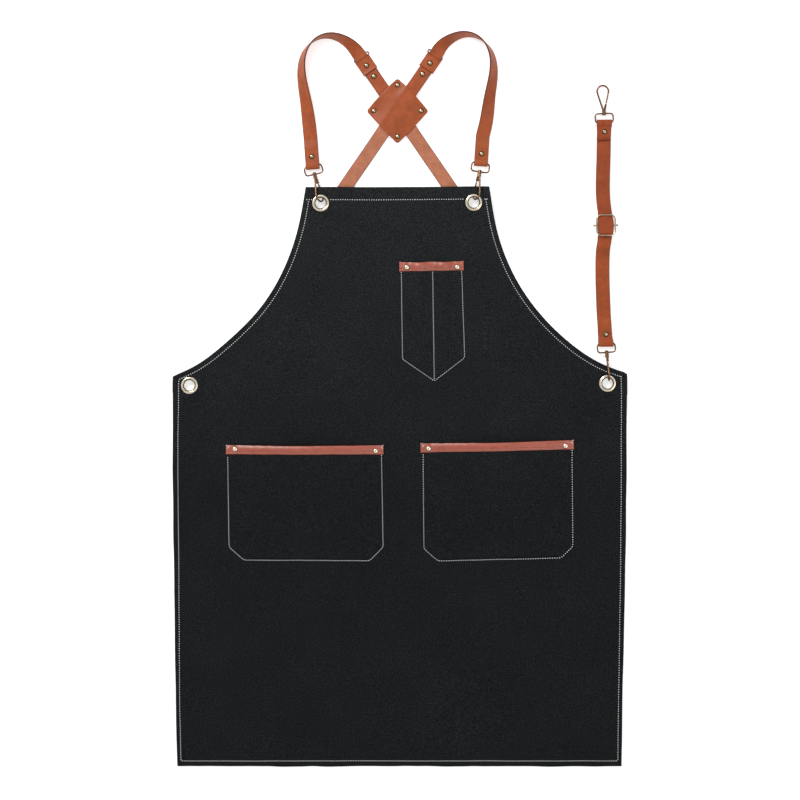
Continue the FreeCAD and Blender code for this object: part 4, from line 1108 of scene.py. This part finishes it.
def cross_patch():
    """Front leaf: leather pressed over the crossing straps and pinched down at its rivets."""
    cx, cy = PATCH_C

    def inside(x, y):
        return np.abs(x - cx) / (PATCH_X + 2) + np.abs(y - cy) / (PATCH_Y + 2) < 1

    low = (cx - PATCH_X - 4, cy - PATCH_Y - 4)
    high = (cx + PATCH_X + 4, cy + PATCH_Y + 4)
    leaf = Settled(low, high, 1.5, LAYER_A + 0.1, 8.0, inside)
    leaf.rests_on(["left_shoulder_strap", "right_shoulder_strap", "left_back_strap", "right_back_strap"], 30.0, 0.2)
    for dx, dy in PATCH_RIVETS:
        leaf.pin(cx + dx, cy + dy, 3.4, LAYER_A + 0.25)
    leaf.settle(0.0022, 500, 10)
    n = 61
    u, v = np.meshgrid(np.linspace(-1, 1, n), np.linspace(-1, 1, n))
    pull = 1 - 0.05 * (np.abs(u) * np.abs(v)) ** 7
    x = cx + PATCH_X * (u + v) / 2 * pull
    y = cy + PATCH_Y * (v - u) / 2 * pull
    bulge = 1 + 0.018 * (smoothstep(np.abs(u) * 1.3 - 0.3) * (1 - v ** 2)
                         + smoothstep(np.abs(v) * 1.3 - 0.3) * (1 - u ** 2))
    x, y = cx + (x - cx) * bulge, cy + (y - cy) * bulge
    x, y = x.ravel(), y.ravel()
    base = leaf.at(x, y)
    rim = 1 - np.maximum(np.abs(u), np.abs(v)).ravel()
    thick = PATCH_T - 0.45 * np.exp(-(rim * 35 / 0.8) ** 2)
    verts, faces = closed_sheet(np.stack([x, y, base + thick], axis=1), np.stack([x, y, base], axis=1),
                                grid_faces(n, n))
    picks = [1 if k >= 2 * (n - 1) ** 2 else 0 for k in range(len(faces))]
    add_mesh("cross_patch_leather", verts, faces, ROOT, [PATCH, TRIM_EDGE],
             ["cross_patch_front"], picks,
             sharp=60)
    spots = [(cx + dx, cy + dy, LAYER_A + 0.25 + PATCH_T, TABLE_GAP) for dx, dy in PATCH_RIVETS]
    rivet_set("cross_patch_rivet_caps", spots, ROOT, ["cross_patch_rivets"])


# ---------------------------------------------------------------- adjusters
def adjusters():
    spots = []
    for side in ("left", "right"):
        mirror, shift = side == "right", SHIFT[side]
        direction = math.radians(RUN + 180.0 if not mirror else -RUN)
        ex = np.array([math.cos(direction), math.sin(direction), 0.0])
        ey = np.array([-math.sin(direction), math.cos(direction), 0.0])
        centre_z = ADJUST_BASE + STRAP_T / 2
        in_w, in_t = STRAP_W / 2 + SLEEVE_PLAY, STRAP_T / 2 + SLEEVE_PLAY
        out_w, out_t = in_w + SLEEVE_T, in_t + SLEEVE_T

        def loop(w, t, r):
            pts = []
            for cx, cz, a0 in ((w - r, t - r, 0), (r - w, t - r, 90), (r - w, r - t, 180), (w - r, r - t, 270)):
                pts += corner_arc(cx, cz, r, a0, a0 + 90, 5)
            return pts

        outer, inner = loop(out_w, out_t, 1.3), loop(in_w, in_t, 0.3)
        stations = [(0.0, -0.35), (0.5, 0.0), (7.0, 0.0), (14.0, 0.0),
                    (SLEEVE_LENGTH - 0.5, 0.0), (SLEEVE_LENGTH, -0.35)]
        start = np.array([*along_run(SLEEVE_FROM + shift, mirror), centre_z])
        rings = [[start + ex * s + ey * (a + math.copysign(g, a)) + np.array((0, 0, b + math.copysign(g, b)))
                  for a, b in outer] for s, g in stations]
        rings += [[start + ex * s + ey * a + np.array((0, 0, b)) for a, b in inner] for s, _ in stations[::-1]]
        n, count = len(outer), len(rings)
        verts = np.array(rings).reshape(-1, 3)
        faces = [(i * n + k, i * n + (k + 1) % n, ((i + 1) % count) * n + (k + 1) % n, ((i + 1) % count) * n + k)
                 for i in range(count) for k in range(n)]
        ends = {0, 5, count - 1, 4}
        picks = [1 if i in ends else 0 for i in range(count) for _ in range(n)]
        add_mesh(side + "_sleeve_leather", verts, faces, side + "_adjuster", [STRAP, STRAP_EDGE],
                 [side + "_adjuster_sleeve"], picks, sharp=60)
        x, y = along_run(SLEEVE_RIVET + shift, mirror)
        verts, faces = lathe(DOME)
        # painted shade on the cap's rim beyond its crown, as on the other rivets
        add_mesh(side + "_sleeve_rivet_cap", verts + (x, y, centre_z + out_t), faces, side + "_adjuster",
                 [RIVET_GOLD, SHADED_GOLD_RIM], [side + "_sleeve_rivet"], rim_picks(verts, faces, SMALL_RIM_R), sharp=50)
        x, y = along_run(ADJUST_RIVET + shift, mirror)
        spots.append((x, y, ADJUST_BASE + STRAP_T, ADJUST_BASE))
    rivet_set("adjustment_rivet_caps", spots, ROOT, ["adjustment_rivets"])


# ---------------------------------------------------------------- waist strap
WAIST_TOP, WAIST_BOTTOM, SLIDER_C = (296.75, 402.1), (299.0, 81.2), (298.5, 252.8)
TOP_LAYER = FOLD_Z + FOLD_R
UPPER_Z = TOP_LAYER + STRAP_T + 0.3


# y, and how far the waist strap sways there
SWAY = [(405, 0), (391, -0.8), (352, -1.9), (330, -3.0), (304, -3.9), (283, -3.0), (268, -0.6), (252, -0.1),
        (238, -0.6), (220, -3.9), (198, -4.7), (173, -4.7), (130, -3.3), (94, -1.3), (80, 0)]


def swayed(frames):
    """Frames moved sideways, as a strap lies that was laid down by hand."""
    at, sway = np.array(SWAY[::-1], float).T
    moved = [(centre + (np.interp(centre[1], at, sway), 0, 0), along, across) for centre, along, across in frames]
    for _ in range(3):
        xs = [centre[0] for centre, *_ in moved]
        for k in range(1, len(moved) - 1):
            if abs(moved[k][0][1] - moved[k - 1][0][1]) > 3 and abs(moved[k + 1][0][1] - moved[k][0][1]) > 3:
                moved[k][0][0] = (xs[k - 1] + 2 * xs[k] + xs[k + 1]) / 4
    return moved


def waist_straps():
    def heading(a, b):
        return math.degrees(math.atan2(b[1] - a[1], b[0] - a[0]))

    length, direction = math.dist(WAIST_BOTTOM, SLIDER_C), heading(WAIST_BOTTOM, SLIDER_C)
    rise = TOP_LAYER - LOW
    straight = length - FOLD_END - s_length(rise, 20.0) - 26.0
    moves = (fold_moves(straight, FOLD_SLACK["waist_lower"]) + s_curve(rise, 20.0)
             + [("line", 26.0), ("arc", FOLD_R, -180.0), ("line", 24.0)])
    strap_mesh("waist_lower_leather", swayed(walked(24.0, LOW, 180.0, moves, (*WAIST_BOTTOM, 0), direction)), STRAP_T,
               "waist_lower_strap", WAIST_LOW_LIT, STRAP_EDGE, ["waist_lower_strap"], STRAP_W + 0.4,
               [(WAIST_BOTTOM[1], 8.0, 1.6)])
    a = math.radians(direction)
    spot = (WAIST_BOTTOM[0] + 13.6 * math.cos(a), WAIST_BOTTOM[1] + 13.6 * math.sin(a),
            TAIL_Z + STRAP_T / 2, TABLE_GAP)
    rivet_set("waist_lower_rivet_cap", [spot], "waist_lower_strap", ["waist_lower_rivet"])

    length, direction = math.dist(WAIST_TOP, SLIDER_C), heading(WAIST_TOP, SLIDER_C)
    lift = math.degrees(math.atan2(UPPER_Z - LOW, length))
    bump, slack = FOLD_Z + FOLD_R - TAIL_Z, FOLD_SLACK["waist_upper"]
    moves = ([("line", 26.0 - slack - s_length(bump, DROP_R))] + [(k, r, -t) for k, r, t in s_curve(bump, DROP_R)]
             + [("line", 2 * slack), ("arc", FOLD_R, 180.0), ("line", slack + length + 14.9 + 0.8)])
    frames = walked(26.0, TAIL_Z - FOLD_Z, 180.0, moves, (*WAIST_TOP, FOLD_Z), direction, lift)
    strap_mesh("waist_upper_leather", swayed(frames), STRAP_T, "waist_upper_strap", WAIST_SHADED,
               STRAP_EDGE, ["waist_upper_strap"], STRAP_W + 0.4, [(WAIST_TOP[1], 8.0, 1.8), (SLIDER_C[1], 12.5, 3.0)])
    a = math.radians(direction)
    front = TAIL_Z + STRAP_T / 2 + 13.5 * math.sin(math.radians(lift))
    spot = (WAIST_TOP[0] + 13.5 * math.cos(a), WAIST_TOP[1] + 13.5 * math.sin(a), front, TABLE_GAP + 0.6)
    rivet_set("waist_upper_rivet_cap", [spot], "waist_upper_strap", ["waist_upper_rivet"])


# ---------------------------------------------------------------- metal and leather that CAD shapes
def dress_cad_nodes():
    for name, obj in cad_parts.items():
        material = None
        if name.endswith(("_d_ring", "_hook", "_gate", "_swivel", "_gate_pin", "_loop")):
            material = ANTIQUE
        elif "slider" in name:
            material = SLIDER_PLATE
        elif name.endswith("_keeper"):
            material = DARK_METAL
        elif name == "cross_patch_back":
            material = FLESH
        if material:
            obj.data.materials.clear()
            obj.data.materials.append(material)


# ---------------------------------------------------------------- stage
def stage():
    mesh = bpy.data.meshes.new("table")
    half = 5.0
    mesh.from_pydata([(-half, -half, 0), (half, -half, 0), (half, half, 0), (-half, half, 0)], [], [(0, 1, 2, 3)])
    table = bpy.data.objects.new("table", mesh)
    bpy.context.scene.collection.objects.link(table)
    material, tree, shader = node_material("table_top")
    tone = ramp(tree, noise_node(tree, coordinates(tree), 3.0), "Fac", [(0.3, (0.93,) * 3), (0.7, (0.95,) * 3)])
    link(tree, tone, "Color", shader, "Base Color")
    shader.inputs["Roughness"].default_value = 0.9
    shader.inputs["Specular IOR Level"].default_value = 0.1
    shader.inputs["Emission Color"].default_value = (1.0, 1.0, 1.0, 1.0)
    shader.inputs["Emission Strength"].default_value = 0.45
    mesh.materials.append(material)

    world = bpy.data.worlds.new("studio")
    bpy.context.scene.world = world
    world.use_nodes = True
    tree = world.node_tree
    direction = tree.nodes.new("ShaderNodeTexCoord")
    split = tree.nodes.new("ShaderNodeSeparateXYZ")
    link(tree, direction, "Generated", split, "Vector")
    sky = ramp(tree, split, "Z", [(0.0, (0.16,) * 3), (0.3, (0.3,) * 3), (0.55, (1.0,) * 3), (0.78, (0.95,) * 3),
                                  (0.93, (0.55,) * 3), (1.0, (0.5,) * 3)])
    link(tree, sky, "Color", tree.nodes["Background"], "Color")
    tree.nodes["Background"].inputs["Strength"].default_value = 0.95

    for name, place, power, size in (("key", (-1.3, 1.9, 2.3), 55.0, 1.0), ("fill", (1.9, -0.6, 2.6), 14.0, 1.8)):
        light = bpy.data.lights.new(name, "AREA")
        light.energy, light.size = power, size
        lamp = bpy.data.objects.new(name, light)
        lamp.location = place
        lamp.rotation_euler = (-Vector(place)).to_track_quat("-Z", "Y").to_euler()
        bpy.context.scene.collection.objects.link(lamp)


def camera():
    """Straight down on the apron, from far enough away that it hardly foreshortens."""
    data = bpy.data.cameras.new("camera")
    height, view_width = 4.0, 1.16
    data.lens = data.sensor_width * (height - BODY_Z * MM) / view_width
    obj = bpy.data.objects.new("camera", data)
    obj.location = (0.0, -0.00065, height)
    bpy.context.scene.collection.objects.link(obj)
    bpy.context.scene.camera = obj
    bpy.context.scene.view_settings.view_transform = "Standard"


camera()
stage()
apron_body()
panel_seams()
eyelets()
pockets()
shoulder_straps()
back_straps()
cross_patch()
adjusters()
waist_straps()
dress_cad_nodes()
